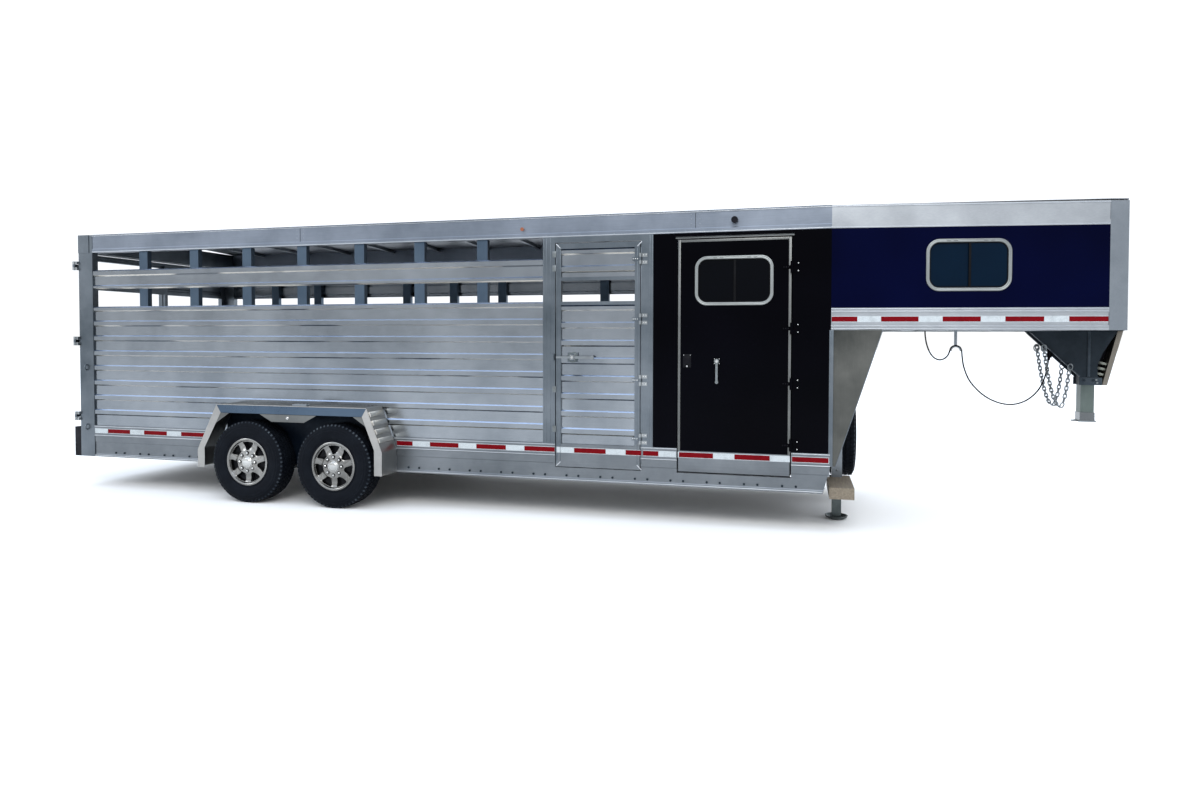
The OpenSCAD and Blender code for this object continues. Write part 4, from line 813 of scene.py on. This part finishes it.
def add_tack_door_trim():
    """The door's raised edge trim, kick plate and the gap round its foot, and the drip rail."""
    x0, x1, z0, z1 = TACK_X0, TACK_X1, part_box("tack_door")[0].z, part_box("tack_door")[1].z
    wide, foot, bead, gap_w, gap_h = 0.020, TAPE_HIGH + 0.008, 0.003, 0.005, 0.006
    trim, kick, gap, rail = bmesh.new(), bmesh.new(), bmesh.new(), bmesh.new()
    matrix = on_right()
    for a, b, c, d in ((x0, foot, x0 + wide, z1), (x1 - wide, foot, x1, z1),
                       (x0 + wide, z1 - wide, x1 - wide, z1)):
        add_box(trim, (a, b, -0.001), (c, d, 0.0035), 0.0012, matrix)
        if c - a > d - b:
            b, d = b + wide / 2 - bead, b + wide / 2 + bead
        else:
            a, c = a + wide / 2 - bead, a + wide / 2 + bead
        add_box(trim, (a, b, 0.003), (c, d, 0.0048), 0.001, matrix)
    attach(finish_mesh("tack_door_trim", trim, DOOR_TRIM, 30), "tack_door")
    add_box(kick, (x0 + gap_w, z0 + gap_h, -0.001), (x1 - gap_w, foot, 0.0008), 0.0004, matrix)
    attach(finish_mesh("tack_door_kick_plate", kick, LOW_RAIL, 30), "tack_door")
    for a, b, c, d in ((x0, z0, x0 + gap_w, foot), (x1 - gap_w, z0, x1, foot),
                       (x0, z0, x1, z0 + gap_h)):
        add_box(gap, (a, b, -0.001), (c, d, 0.0006), 0, matrix)
    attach(finish_mesh("tack_door_gap", gap, GASKET), "tack_door")
    section = [(0, 0), (-0.014, -0.004), (-0.017, 0.004), (-0.004, 0.014), (0, 0.014)]
    turn = Matrix.Translation((x0 - 0.02, -HALF_W, z1 + 0.012)) @ turned(90, "Z") @ turned(90, "X")
    add_prism(rail, section, x1 - x0 + 0.04, turn)
    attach(finish_mesh("drip_rail", rail, DOOR_TRIM, 30), "trailer")


def add_latch_box():
    """A flush slam latch: a dished black plate with its paddle and a small key barrel."""
    plate, metal = bmesh.new(), bmesh.new()
    matrix = on_right(*SLAM_LATCH)
    add_box(plate, (-0.034, -0.055, 0), (0.034, 0.055, 0.004), 0.0018, matrix)
    add_box(plate, (-0.024, -0.030, 0.004), (0.024, 0.036, 0.010), 0.003, matrix)
    add_lathe(metal, [(0, 0.006), (0.007, 0.006), (0.008, 0.0045), (0.008, 0.003)], 20,
              matrix @ Matrix.Translation((0, -0.043, 0)))
    for x in (-0.027, 0.027):
        add_lathe(metal, [(0, 0.0055), (0.003, 0.005), (0.0035, 0.004)], 10,
                  matrix @ Matrix.Translation((x, 0.048, 0)))
    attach(finish_mesh("tack_latch_plate", plate, BLACK_STEEL, 40), "tack_door")
    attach(finish_mesh("tack_latch_key", metal, CHROME, 40), "tack_door")


def add_hinge_bolts():
    """Bolt heads on the hinge leaves: bright ones, and black ones on the tack door."""
    for door, axis_x, heights, fixed_at, own in (
            ("stock_door", S(-1.518), STOCK_HINGE_ZS, (0.024, 0.046), CHROME),
            ("tack_door", S(-0.299), TACK_HINGE_ZS, (0.048,), BLACK_STEEL)):
        fixed, moving = bmesh.new(), bmesh.new()
        leaf = -HALF_W - 0.006
        for z in heights:
            for dz in (-0.030, 0.030):
                for dx in fixed_at:
                    add_dome(fixed, (axis_x + dx, leaf, z + dz), 0.0055, 0.0035, steps=10)
            for dx in (-0.026, -0.044, -0.062):
                add_dome(moving, (axis_x + dx, leaf, z), 0.0055, 0.0035, steps=10)
        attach(finish_mesh(door + "_hinge_bolts", moving, own, 40), door)
        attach(finish_mesh(door + "_fixed_hinge_bolts", fixed, CHROME, 40), "trailer")


def add_stock_door_details():
    """Weld beads across the mitred corners, ribs along the uprights and the keepers' plates."""
    z0, z1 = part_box("stock_door_frame")[0].z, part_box("stock_door_frame")[1].z
    welds, ribs, keepers = bmesh.new(), bmesh.new(), bmesh.new()
    for x, way in ((STOCK_X0, 1), (STOCK_X1, -1)):
        for z, up, sunk in ((z0, 1, 0.0012), (z1, -1, 0)):
            matrix = on_right(x, z, -sunk) @ Matrix.Rotation(atan2(up, way), 4, "Z")
            add_box(welds, (0.002, -0.0038, -0.001), (STOCK_FACE * sqrt(2) - 0.008, 0.0038, 0.0024),
                    0.0018, matrix)
    for x in (STOCK_X0 + 0.004, STOCK_X0 + 0.036, STOCK_X1 - 0.042, STOCK_X1 - 0.010):
        add_box(ribs, (x, z0 + 0.05, -0.001), (x + 0.006, z1 - 0.05, 0.0018), 0.0012, on_right())
    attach(finish_mesh("stock_door_welds", welds, WELD, 40), "stock_door")
    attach(finish_mesh("stock_door_ribs", ribs, UPRIGHT, 30), "stock_door")
    for z in KEEPER_ZS:
        matrix = on_right(STOCK_X0 - 0.008, z)
        add_box(keepers, (-0.022, -0.026, 0), (0.010, 0.026, 0.007), 0.002, matrix)
        for dy in (-0.014, 0.014):
            add_lathe(keepers, [(0, 0.0105), (0.004, 0.0095), (0.005, 0.007)], 10,
                      matrix @ Matrix.Translation((-0.012, dy, 0)))
    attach(finish_mesh("stock_door_keepers", keepers, ZINC, 35), "trailer")


def add_latch_rose():
    """The round plate behind the stock door's latch."""
    plate = bmesh.new()
    add_lathe(plate, [(0.012, 0.0072), (0.040, 0.0072), (0.043, 0.0055), (0.043, -0.003)], 36,
              on_right(*STOCK_LATCH))
    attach(finish_mesh("latch_rose", plate, GREASED, 40), "stock_door")


def add_jamb_ribs():
    """Extruded ribs down the posts on both sides of the stock door."""
    bm = bmesh.new()
    low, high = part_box("door_jambs")
    for x in (low.x + 0.006, low.x + 0.030, low.x + 0.066, high.x - 0.030, high.x - 0.010):
        add_box(bm, (x, RAIL_TOP + 0.004, -0.001), (x + 0.005, TOP_RAIL_LOW - 0.004, 0.0018),
                0.001, on_right())
    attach(finish_mesh("jamb_ribs", bm, UPRIGHT, 30), "trailer")


def add_rosettes():
    """A pivot cap and four bolts for the stock door's latch and for the tack door's lever."""
    for name, place in (("stock", STOCK_LATCH), ("tack", TACK_LEVER)):
        bm = bmesh.new()
        matrix = on_right(*place)
        add_lathe(bm, [(0.012, 0.0345), (0.010, 0.0365), (0, 0.037)], 24, matrix)
        for a in [radians(45 + 90 * k) for k in range(4)]:
            add_lathe(bm, [(0, 0.0115), (0.0035, 0.0105), (0.0045, 0.008)], 10,
                      matrix @ Matrix.Translation((0.027 * cos(a), 0.027 * sin(a), 0)))
        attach(finish_mesh(name + "_latch_rosette", bm, CHROME, 40), name + "_door")


add_tack_door_trim()
add_latch_box()
add_hinge_bolts()
add_stock_door_details()
add_latch_rose()
add_jamb_ribs()
add_rosettes()


# ---- wheels ----

TYRE_R = 0.382
TREAD_HALF = 0.090
GROOVES = (-0.056, -0.019, 0.019, 0.056)
BLOCKS = 60
GROOVE_W, GROOVE_DEPTH, SIPE_NARROWS = 0.009, 0.008, 0.003
SHOULDER_R, SHOULDER_Z = 0.362, 0.0975
BLOCK_SLANT = 1.6  # how many blocks' lengths the pattern leans, for each metre across the tread
WHEEL_Y = (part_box("tyre_right_rear")[0].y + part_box("tyre_right_rear")[1].y) / 2


def tyre_mesh(name):
    """A radial tyre: moulded sidewalls, a rounded shoulder with lugs and a blocked tread."""
    side = [(0.206, 0.088), (0.214, 0.0945), (0.226, 0.0955), (0.230, 0.0985), (0.234, 0.0985),
            (0.237, 0.0968), (0.246, 0.1030), (0.250, 0.1052), (0.262, 0.1088), (0.280, 0.1116),
            (0.296, 0.1122), (0.312, 0.1116), (0.314, 0.1124), (0.318, 0.1124), (0.320, 0.1110),
            (0.334, 0.1088), (0.336, 0.1096), (0.341, 0.1084), (0.343, 0.1066), (0.352, 0.1032)]
    cross = []
    for g in GROOVES:
        h = GROOVE_W / 2
        cross += [(g - h, 0), (g - h + 0.0015, 1), (g + h - 0.0015, 1), (g + h, 0)]
    edge = [(-TREAD_HALF, 0), (-0.074, 0)]
    stops = edge + cross + [(0.074, 0), (TREAD_HALF, 0)]
    # Where each row turns: the shares of one block's length, and how deep its sipe is there
    steps = ((0.0, 0), (0.40, 0), (0.80, 0), (0.84, 1), (0.96, 1))
    bm = bmesh.new()
    columns = []
    for block in range(BLOCKS):
        for share, sipe in steps:
            a = 2 * pi * (block + share) / BLOCKS
            column = [(r, -z) for r, z in side]
            column.append((SHOULDER_R, -SHOULDER_Z + SIPE_NARROWS * sipe))
            for z, groove in stops:
                band = sum(z > g for g in GROOVES)
                crown = 0.0045 * (z / TREAD_HALF) ** 2
                deep = GROOVE_DEPTH * groove
                if sipe and not groove:
                    deep = GROOVE_DEPTH * (0.85 if band in (0, 4) else 0.45)
                column.append((TYRE_R - crown - deep, z))
            column.append((SHOULDER_R, SHOULDER_Z - SIPE_NARROWS * sipe))
            column += [(r, z) for r, z in reversed(side)]
            ring = []
            for r, z in column:
                band = sum(z > g for g in GROOVES)
                shift = (0.5 if band % 2 else 0.0) + BLOCK_SLANT * abs(z)
                turn = a + 2 * pi * shift / BLOCKS * (1 if abs(z) < TREAD_HALF else 0.9)
                ring.append(bm.verts.new((r * cos(turn), r * sin(turn), z)))
            columns.append(ring)
    count = len(columns)
    shoulders = (len(side), len(columns[0]) - len(side) - 2)
    for i in range(count):
        a, b = columns[i], columns[(i + 1) % count]
        for k in range(len(a) - 1):
            face = bm.faces.new((a[k], b[k], b[k + 1], a[k + 1]))
            if k in shoulders and i % len(steps) == 0:
                face.material_index = 1
    bmesh.ops.recalc_face_normals(bm, faces=bm.faces)
    mesh = bpy.data.meshes.new(name)
    bm.to_mesh(mesh)
    bm.free()
    mesh.materials.append(TYRE)
    mesh.materials.append(TYRE_EDGE)
    return mesh


SPOKES = 7
POCKET = (0.108, 0.189)


def pocket_half(r):
    """Half the angle of a pocket between two spokes at a radius, with rounded corners."""
    inner, outer = POCKET
    corner = 0.014
    r = min(max(r, inner), outer)
    half = 0.012 + 0.047 * (r - inner) / (outer - inner)
    for gap in (r - inner, outer - r):
        if gap < corner:
            half -= corner - sqrt(max(corner ** 2 - (corner - gap) ** 2, 0))
    return max(half, 0.002) / r


def spoke_height(r, across):
    """Height of the wheel's face: a dished disc whose spokes are crowned across."""
    inner, outer = POCKET
    share = min(max((r - inner) / (outer - inner), 0), 1)
    dish = 0.092 - 0.012 * sin(pi * share) - 0.004 * share
    return dish - 0.004 * across ** 2


def rim_face(bm):
    inner, outer = POCKET
    # Rings from the hub outward, each with its zone: 0 face, 1 pocket, 2 and 3 the rim's flange
    radii = [(r, 0) for r in (0.030, 0.060, 0.075, 0.092, 0.102, inner)]
    radii += [(inner + d, 1) for d in (0.0006, 0.003, 0.007, 0.014, 0.028, 0.045, 0.060, 0.067,
                                       0.074, 0.078)]
    radii += [(outer - 0.0006, 1), (outer, 0), (0.193, 0), (0.197, 2), (0.2005, 3)]
    # Places across one spoke's share of a turn, each with how deep it lies in a pocket
    turns = [(-1, 0), (-0.8, 0), (-0.62, 0), (-0.54, 0), (-0.50, 0.35), (-0.49, 1), (-0.25, 1),
             (0, 1), (0.25, 1), (0.49, 1), (0.50, 0.35), (0.54, 0), (0.62, 0), (0.8, 0)]
    rings = []
    for r, zone in radii:
        ring = []
        half = pocket_half(r)
        for k in range(SPOKES):
            for t, depth in turns:
                whole = pi / SPOKES
                size = abs(t)
                if size <= 0.5:
                    angle = 2 * size * half
                else:
                    angle = half + (size - 0.5) * 2 * (whole - half)
                angle = copysign(angle, t) + 2 * whole * k + radians(90)
                across = 1 - 2 * (size - 0.5) if size > 0.5 else 1
                z = spoke_height(r, across if zone < 2 else 0)
                if zone == 1 and depth:
                    z -= 0.040 * depth
                if zone == 2:
                    z = 0.094
                if zone == 3:
                    z = 0.1005
                ring.append(bm.verts.new((r * cos(angle), r * sin(angle), z)))
        rings.append(ring)
    count = len(rings[0])
    per = len(turns)
    for i, (a, b) in enumerate(zip(rings, rings[1:])):
        for k in range(count):
            j = (k + 1) % count
            face = bm.faces.new((a[k], a[j], b[j], b[k]))
            inside = radii[i][1] == 1 and radii[i + 1][1] == 1
            low = turns[k % per][1] >= 0.35 and turns[j % per][1] >= 0.35
            if inside and low:
                face.material_index = 1


def rim_mesh(name, capped):
    bm = bmesh.new()
    rim_face(bm)
    add_lathe(bm, [(0.2005, 0.1005), (0.206, 0.1035), (0.214, 0.1030), (0.2195, 0.0995),
                   (0.2210, 0.0960), (0.2195, 0.0930), (0.2050, 0.0925), (0.2030, 0.0700),
                   (0.1900, 0.0500), (0.1900, -0.0500), (0.2030, -0.0800), (0.2040, -0.0935),
                   (0.2205, -0.0950), (0.2205, -0.0985), (0.2150, -0.1010), (0.1980, -0.1000),
                   (0.1860, -0.0780), (0.1800, -0.0400), (0.1800, 0.0200), (0.1500, 0.0300),
                   (0.0300, 0.0300)], 96)
    nuts = bmesh.new()
    for k in range(8):
        turn = turned(45 * k, "Z") @ Matrix.Translation((0.0825, 0, 0.0915))
        cup = add_lathe(bm, [(0.0185, 0.0), (0.0165, 0.0020), (0.0135, 0.0008), (0.0120, -0.003)],
                        20, turn)
        for face in {face for v in cup for face in v.link_faces}:
            face.material_index = 1
        add_lathe(nuts, [(0.0115, 0), (0.0115, 0.009), (0.0095, 0.0115), (0.0040, 0.0150),
                         (0, 0.0155)], 6, turn)
    if capped:
        add_lathe(nuts, [(0.050, 0.0925), (0.0495, 0.0985), (0.0465, 0.1015), (0.0400, 0.1025),
                         (0.0375, 0.1065), (0.0330, 0.1090), (0.0100, 0.1105), (0, 0.1105)], 48)
        add_lathe(nuts, [(0.0565, 0.0915), (0.0560, 0.0945), (0.0520, 0.0955), (0.0500, 0.0930)],
                  48)
    stem = turned(64, "Z") @ Matrix.Translation((0.194, 0, 0.095)) @ turned(-20, "Y")
    add_lathe(nuts, [(0.0045, 0), (0.0045, 0.010), (0.0032, 0.0115), (0, 0.0115)], 12, stem)
    bmesh.ops.recalc_face_normals(bm, faces=bm.faces)
    bmesh.ops.recalc_face_normals(nuts, faces=nuts.faces)
    face, metal = bpy.data.meshes.new(name), bpy.data.meshes.new(name + "_nuts")
    bm.to_mesh(face)
    nuts.to_mesh(metal)
    bm.free()
    nuts.free()
    face.materials.append(ALLOY)
    face.materials.append(POCKET_PAINT)
    metal.materials.append(CHROME)
    return face, metal


def place_mesh(name, mesh, matrix, body, replaced, angle):
    """A copy of a wheel mesh put in place, so that its own vertices stand in the row frame."""
    copy = mesh.copy()
    copy.name = name
    flipped = matrix.determinant() < 0
    copy.transform(matrix)
    if flipped:
        copy.flip_normals()
    obj = bpy.data.objects.new(name, copy)
    bpy.context.scene.collection.objects.link(obj)
    shade(obj, angle)
    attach(obj, body)
    if replaced:
        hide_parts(replaced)


def place_wheel(kind, ending, matrix, body, meshes, replaced):
    """Puts a tyre, a rim and its nuts in place; the first two stand in for CAD nodes."""
    looks = (("tyre", "tyre_rubber", 35), ("rim", "wheel_alloy", 32), ("nuts", "wheel_alloy", 32))
    for (part, slot_name, angle), mesh, node in zip(looks, meshes, (*replaced, None)):
        place_mesh(kind + part + ending, mesh, matrix, body, node, angle)


def add_wheels():
    tyre = tyre_mesh("tyre")
    meshes = (tyre, *rim_mesh("rim", True))
    for wheel in WHEELS:
        low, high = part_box("tyre_" + wheel)
        matrix = Matrix.Translation(((low.x + high.x) / 2, WHEEL_Y, TYRE_R)) @ turned(90, "X")
        if wheel.startswith("left"):
            matrix = mirror_y(matrix)
        replaced = ("tyre_" + wheel, "rim_" + wheel)
        place_wheel("road_", "_" + wheel, matrix, "wheel_" + wheel, meshes, replaced)
    low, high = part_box("spare_tyre")
    middle = (low + high) / 2
    matrix = Matrix.Translation((middle.x, 0, middle.z)) @ turned(90, "Y")
    meshes = (tyre, *rim_mesh("spare", False))
    place_wheel("carried_", "", matrix, "trailer", meshes, ("spare_tyre", "spare_rim"))


add_wheels()


# ---- fenders ----

def slope_ribs(bm, start, end, side, pitch, height, width, margin):
    """Rounded ribs across a fender's sheet, spaced along a line from start to end (x, z)."""
    a, b = Vector((start[0], 0, start[1])), Vector((end[0], 0, end[1]))
    along = (b - a).normalized()
    out = Vector((-along.z, 0, along.x))
    half = (FENDER_OUT - HALF_W) / 2 - 0.012
    for k in range(int(((b - a).length - 2 * margin) / pitch) + 1):
        centre = a + along * (margin + k * pitch)
        matrix = Matrix((
            (along.x, 0, out.x, centre.x),
            (0, 1, 0, side * (HALF_W + FENDER_OUT) / 2),
            (along.z, 0, out.z, centre.z),
            (0, 0, 0, 1),
        ))
        add_box(bm, (-width / 2, -half, -0.002), (width / 2, half, height), 0.0025, matrix)


LAMP_GUARD = (  # each bar's ends in x, y and z round the lamp on a fender, and how round it is
    ((-0.075, -0.022, 0.0), (-0.018, 0.022, 0.006), 0.002),
    ((0.018, -0.022, 0.0), (0.075, 0.022, 0.006), 0.002),
    ((-0.075, -0.024, 0.004), (0.075, -0.020, 0.020), 0.0015),
    ((-0.075, 0.020, 0.004), (0.075, 0.024, 0.020), 0.0015),
)


def add_fender_details():
    """Ribs and lips on the fenders, braces and bolts under their edge, and dark plates behind:
    painted shade.
    """
    rear, front, top = FENDER_LOW.x, FENDER_HIGH.x, FENDER_HIGH.z
    rear_knee, front_knee, edge = rear + 0.214, front - 0.150, top - 0.079
    middle = (rear_knee + front_knee) / 2 - 0.02
    leg = (0.082, 0.011, 0.046, 0.060)
    ribs, legs, shade_plates, braces, bolts, lamps = [bmesh.new() for _ in range(6)]
    for side in SIDES:
        # a near-black plate on the wall behind each wheel: painted shade under the fender
        add_side_box(shade_plates, side, (rear_knee - 0.10, front_knee - 0.010),
                     (HALF_W + 0.001, HALF_W + 0.004), (RAIL_LOW + 0.03, top - 0.012), 0.001)
        slope_ribs(legs, (front_knee, top), (front, 0.530), side, *leg)
        slope_ribs(legs, (rear, 0.486), (rear_knee, top), side, *leg)
        slope_ribs(ribs, (rear_knee, top), (front_knee, top), side, 0.040, 0.0035, 0.016, 0.030)
        face = on_right(out=FENDER_OUT - HALF_W - 0.004)
        if side > 0:
            face = mirror_y(face)
        brace = [(middle - 0.30, edge), (middle - 0.17, edge - 0.068),
                 (middle + 0.17, edge - 0.068), (middle + 0.30, edge)]
        add_prism(braces, brace, 0.003, face, 0.001)
        for knee, way in ((rear_knee, -1), (front_knee, 1)):
            corner = knee + way * 0.022
            brace = [(corner, edge), (corner - way * 0.16, edge),
                     (corner + way * 0.055, edge - 0.14)]
            add_prism(braces, brace[::way], 0.003, face, 0.001)
        add_lathe(bolts, [(0.013, 0), (0.013, 0.003), (0.009, 0.006), (0.009, 0.010), (0, 0.011)],
                  16, face @ Matrix.Translation((middle, edge - 0.030, 0.003)))
        add_side_box(ribs, side, (rear_knee, front_knee), (FENDER_OUT - 0.003, FENDER_OUT + 0.004),
                     (top - 0.003, top + 0.003), 0.0015)
        lamp = Matrix.Translation((S(-4.617), side * (FENDER_OUT - 0.03), top))
        for low, high, bevel in LAMP_GUARD:
            add_box(lamps, low, high, bevel, lamp)
    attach(finish_mesh("fender_ribs", ribs, TREAD, 35), "trailer")
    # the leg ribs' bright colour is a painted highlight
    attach(finish_mesh("fender_leg_ribs", legs, FENDER_RIB_HIGHLIGHT, 35), "trailer")
    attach(finish_mesh("wheel_well_painted_shade", shade_plates, WHEEL_SHADE_PAINT, 30), "trailer")
    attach(finish_mesh("fender_braces", braces, DOOR_TRIM, 30), "trailer")
    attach(finish_mesh("fender_brace_bolts", bolts, CHROME, 40), "trailer")
    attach(finish_mesh("fender_lamp_guards", lamps, MILL, 30), "trailer")


add_fender_details()


def repaint(node, material, picks):
    """Gives the faces of a CAD node that picks(centre) chooses a second material."""
    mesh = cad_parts[node].data
    mesh.materials.append(material)
    for polygon in mesh.polygons:
        if picks(polygon.center):
            polygon.material_index = len(mesh.materials) - 1


# the fenders' outer face band gets the painted blue-grey reflection
repaint("fenders", FENDER_FACE_PAINTED_REFLECTION,
        lambda c: abs(c.y) > FENDER_OUT - 0.001 and c.z > FENDER_HIGH.z - 0.078)
repaint("stock_door_frame", LOW_RAIL, lambda c: c.z < TAPE_HIGH)
repaint("stock_door_panel", LOW_RAIL, lambda c: c.z < TAPE_LOW)
repaint("lamps", BLACK_STEEL, lambda c: c.x > S(-0.9))
repaint("coupler_tube", SOCKET, lambda c: c.z < COUPLER_LOW + 0.055)


# ---- neck, chains, jack and rear ----

def add_neck_details():
    """Lips and bolts on the neck's plates, the coiled breakaway cable and the chains' shackles."""
    lips, bolts, coil, rings = bmesh.new(), bmesh.new(), bmesh.new(), bmesh.new()
    for side in SIDES:
        y = side * (PLATE_Y + 0.003)
        turn, length = sloping(NECK_X - 0.456, y, NOSE_LOW, NECK_X - 0.066, 1.222)
        add_box(lips, (0.03, -0.007, 0), (length, 0.007, 0.008), 0.002, turn)
        for x0, x1, y1, z0, z1 in ((-0.070, 0.100, 0.005, NECK_LOW, NECK_LOW + 0.064),
                                   (-0.010, 0.012, 0.004, NECK_LOW + 0.07, NOSE_LOW)):
            add_box(lips, (NECK_X + x0, y - 0.005, z0), (NECK_X + x1, y + y1, z1), 0.002)
        for dx, dz in ((0.055, 0.045), (0.062, 0.020)):
            place = (NECK_X + dx, side * (PLATE_Y + 0.006), NECK_LOW + dz)
            add_hex(bolts, place, 0.010, 0.010, side)
        for dx, z, radius in ((-0.346, 1.462, 0.021), (-0.146, 1.306, 0.018)):
            place = Matrix.Translation((NECK_X + dx, side * (PLATE_Y + 0.034), z))
            longer = Matrix.Scale(1.35, 4, (0, 1, 0))
            add_ring(rings, radius, 0.0045, 10, 28, place @ turned(90, "X") @ longer)
    for k in range(4):
        place = Matrix.Translation((NECK_X + 0.096 + 0.011 * k, 0, NECK_LOW + 0.045 + 0.045 * k))
        add_ring(coil, 0.024, 0.011, 14, 40, place @ turned(14, "Y"))
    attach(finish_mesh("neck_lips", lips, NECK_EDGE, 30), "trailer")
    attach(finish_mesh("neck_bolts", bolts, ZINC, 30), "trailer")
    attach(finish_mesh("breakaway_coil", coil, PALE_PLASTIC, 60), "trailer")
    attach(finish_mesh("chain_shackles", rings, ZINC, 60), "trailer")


def add_neck_web():
    """The dark plate inside the neck, behind the breakaway cable."""
    bm = bmesh.new()
    foot, top, back, ahead = NECK_LOW + 0.004, NOSE_LOW, NECK_X + 0.060, NECK_X + 0.104
    edge = [(back, foot), (ahead, foot), (ahead + (top - foot) * BAR_SLOPE, top), (back, top)]
    add_prism(bm, edge, 0.004, Matrix.Translation((0, 0.062, 0)) @ turned(90, "X"))
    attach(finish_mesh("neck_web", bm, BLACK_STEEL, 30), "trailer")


JACK_X, JACK_Y, JACK_HALF = S(0.080), -0.460, 0.0425


def add_jack_details():
    """Bolts through the jack's housing, and four on the crank's gearbox."""
    bm = bmesh.new()
    for z in (0.42, 0.78, 1.20):
        for side in (1, -1):
            add_dome(bm, (JACK_X, JACK_Y + side * JACK_HALF, z), 0.009, 0.006, "Y", side)
    for dy in (-0.022, 0.022):
        for dz in (-0.034, 0.034):
            place = (JACK_X + JACK_HALF + 0.074, JACK_Y + dy, 1.18 + dz)
            add_dome(bm, place, 0.006, 0.004, "X", 1, 10)
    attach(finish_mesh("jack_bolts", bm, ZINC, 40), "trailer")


GATE_HINGE_ZS, TAIL_LAMP_Z = (0.73, 1.50, 2.27), 1.02
CLEARANCE_LAMP_YS = (-0.92, -0.09, 0.0, 0.09, 0.92)


def add_rear_details():
    """Tail lamps and clearance lamps in their grommets, and bolts on the gate's hinge leaves."""
    red, grommets, bolts = bmesh.new(), bmesh.new(), bmesh.new()
    facing = turned(-90, "Z") @ turned(90, "X")
    circle = [2 * pi * i / 32 for i in range(32)]
    for side in SIDES:
        matrix = Matrix.Translation((REAR_X, side * (HALF_W - 0.033), TAIL_LAMP_Z)) @ facing
        for bm, rx, ry, high, bevel in ((red, 0.021, 0.062, 0.010, 0.002),
                                        (grommets, 0.026, 0.070, 0.004, 0.0015)):
            add_prism(bm, [(rx * cos(a), ry * sin(a)) for a in circle], high, matrix, bevel)
    for y in CLEARANCE_LAMP_YS:
        matrix = Matrix.Translation((REAR_X, y, TOP_RAIL_TOP - 0.055)) @ facing
        add_lathe(red, [(0.016, 0), (0.016, 0.006), (0.012, 0.010), (0, 0.012)], 24, matrix)
        add_lathe(grommets, [(0.021, 0), (0.021, 0.003), (0.016, 0.004)], 24, matrix)
    for z in GATE_HINGE_ZS:
        for inward in (0.008, 0.018):
            for dz in (-0.030, 0.030):
                place = (REAR_X - 0.008, -HALF_W + 0.035 - inward, z + dz)
                add_dome(bolts, place, 0.005, 0.003, "X", -1, 10)
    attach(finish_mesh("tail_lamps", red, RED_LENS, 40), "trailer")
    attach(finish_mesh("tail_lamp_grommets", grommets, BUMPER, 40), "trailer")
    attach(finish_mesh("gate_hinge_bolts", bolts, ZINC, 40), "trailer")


repaint("gooseneck_neck", BARE_BAR,
        lambda c: (c.x > NECK_X + 0.100 + (c.z - NECK_LOW) * BAR_SLOPE
                   and abs(c.y) < PLATE_Y + 0.002))
add_neck_details()
add_neck_web()
add_jack_details()
add_rear_details()


def add_floor():
    p = Paint("studio_floor")
    p.set(Specular_IOR_Level=0.25)
    soft = p.noise(0.6, 3, 0.5)
    p.color(p.mix(soft, (0.74, 0.735, 0.72), (0.78, 0.775, 0.76)))
    p.rough(soft, 0.7, 0.8)
    bm = bmesh.new()
    bmesh.ops.create_grid(bm, x_segments=1, y_segments=1, size=90)
    floor = finish_mesh("floor", bm, p.material)


def add_light(name, place, aim, size, power, color):
    data = bpy.data.lights.new(name, "AREA")
    data.shape = "RECTANGLE"
    data.size, data.size_y = size
    data.energy = power
    data.color = color
    light = bpy.data.objects.new(name, data)
    light.location = place
    light.rotation_euler = (Vector(aim) - Vector(place)).to_track_quat("-Z", "Y").to_euler()
    bpy.context.scene.collection.objects.link(light)


def add_world():
    """A pale room, a little darker at eye level, so that metal has something to show."""
    world = bpy.data.worlds.new("studio")
    bpy.context.scene.world = world
    world.use_nodes = True
    nodes, links = world.node_tree.nodes, world.node_tree.links
    coords, split = nodes.new("ShaderNodeTexCoord"), nodes.new("ShaderNodeSeparateXYZ")
    ramp, background = nodes.new("ShaderNodeValToRGB"), nodes["Background"]
    links.new(coords.outputs["Generated"], split.inputs["Vector"])
    links.new(split.outputs["Z"], ramp.inputs["Fac"])
    links.new(ramp.outputs["Color"], background.inputs["Color"])
    horizon, overhead = ramp.color_ramp.elements
    horizon.position, horizon.color = 0.0, (0.425, 0.430, 0.436, 1)
    overhead.position, overhead.color = 0.80, (0.80, 0.88, 1.0, 1)
    background.inputs["Strength"].default_value = 2.4


add_floor()
add_world()
add_light("key", (4.0, -11.0, 9.5), (-0.5, 0, 1.2), (9, 5), 900, (1.0, 0.985, 0.96))
add_light("fill", (-16.0, -10.0, 9.5), (-1.5, 0, 1.2), (6, 5), 420, (0.93, 0.96, 1.0))
add_light("back", (2.0, 12.0, 8.0), (0, 0, 1.5), (10, 4), 700, (0.95, 0.97, 1.0))
bpy.context.scene.view_settings.view_transform = "Standard"
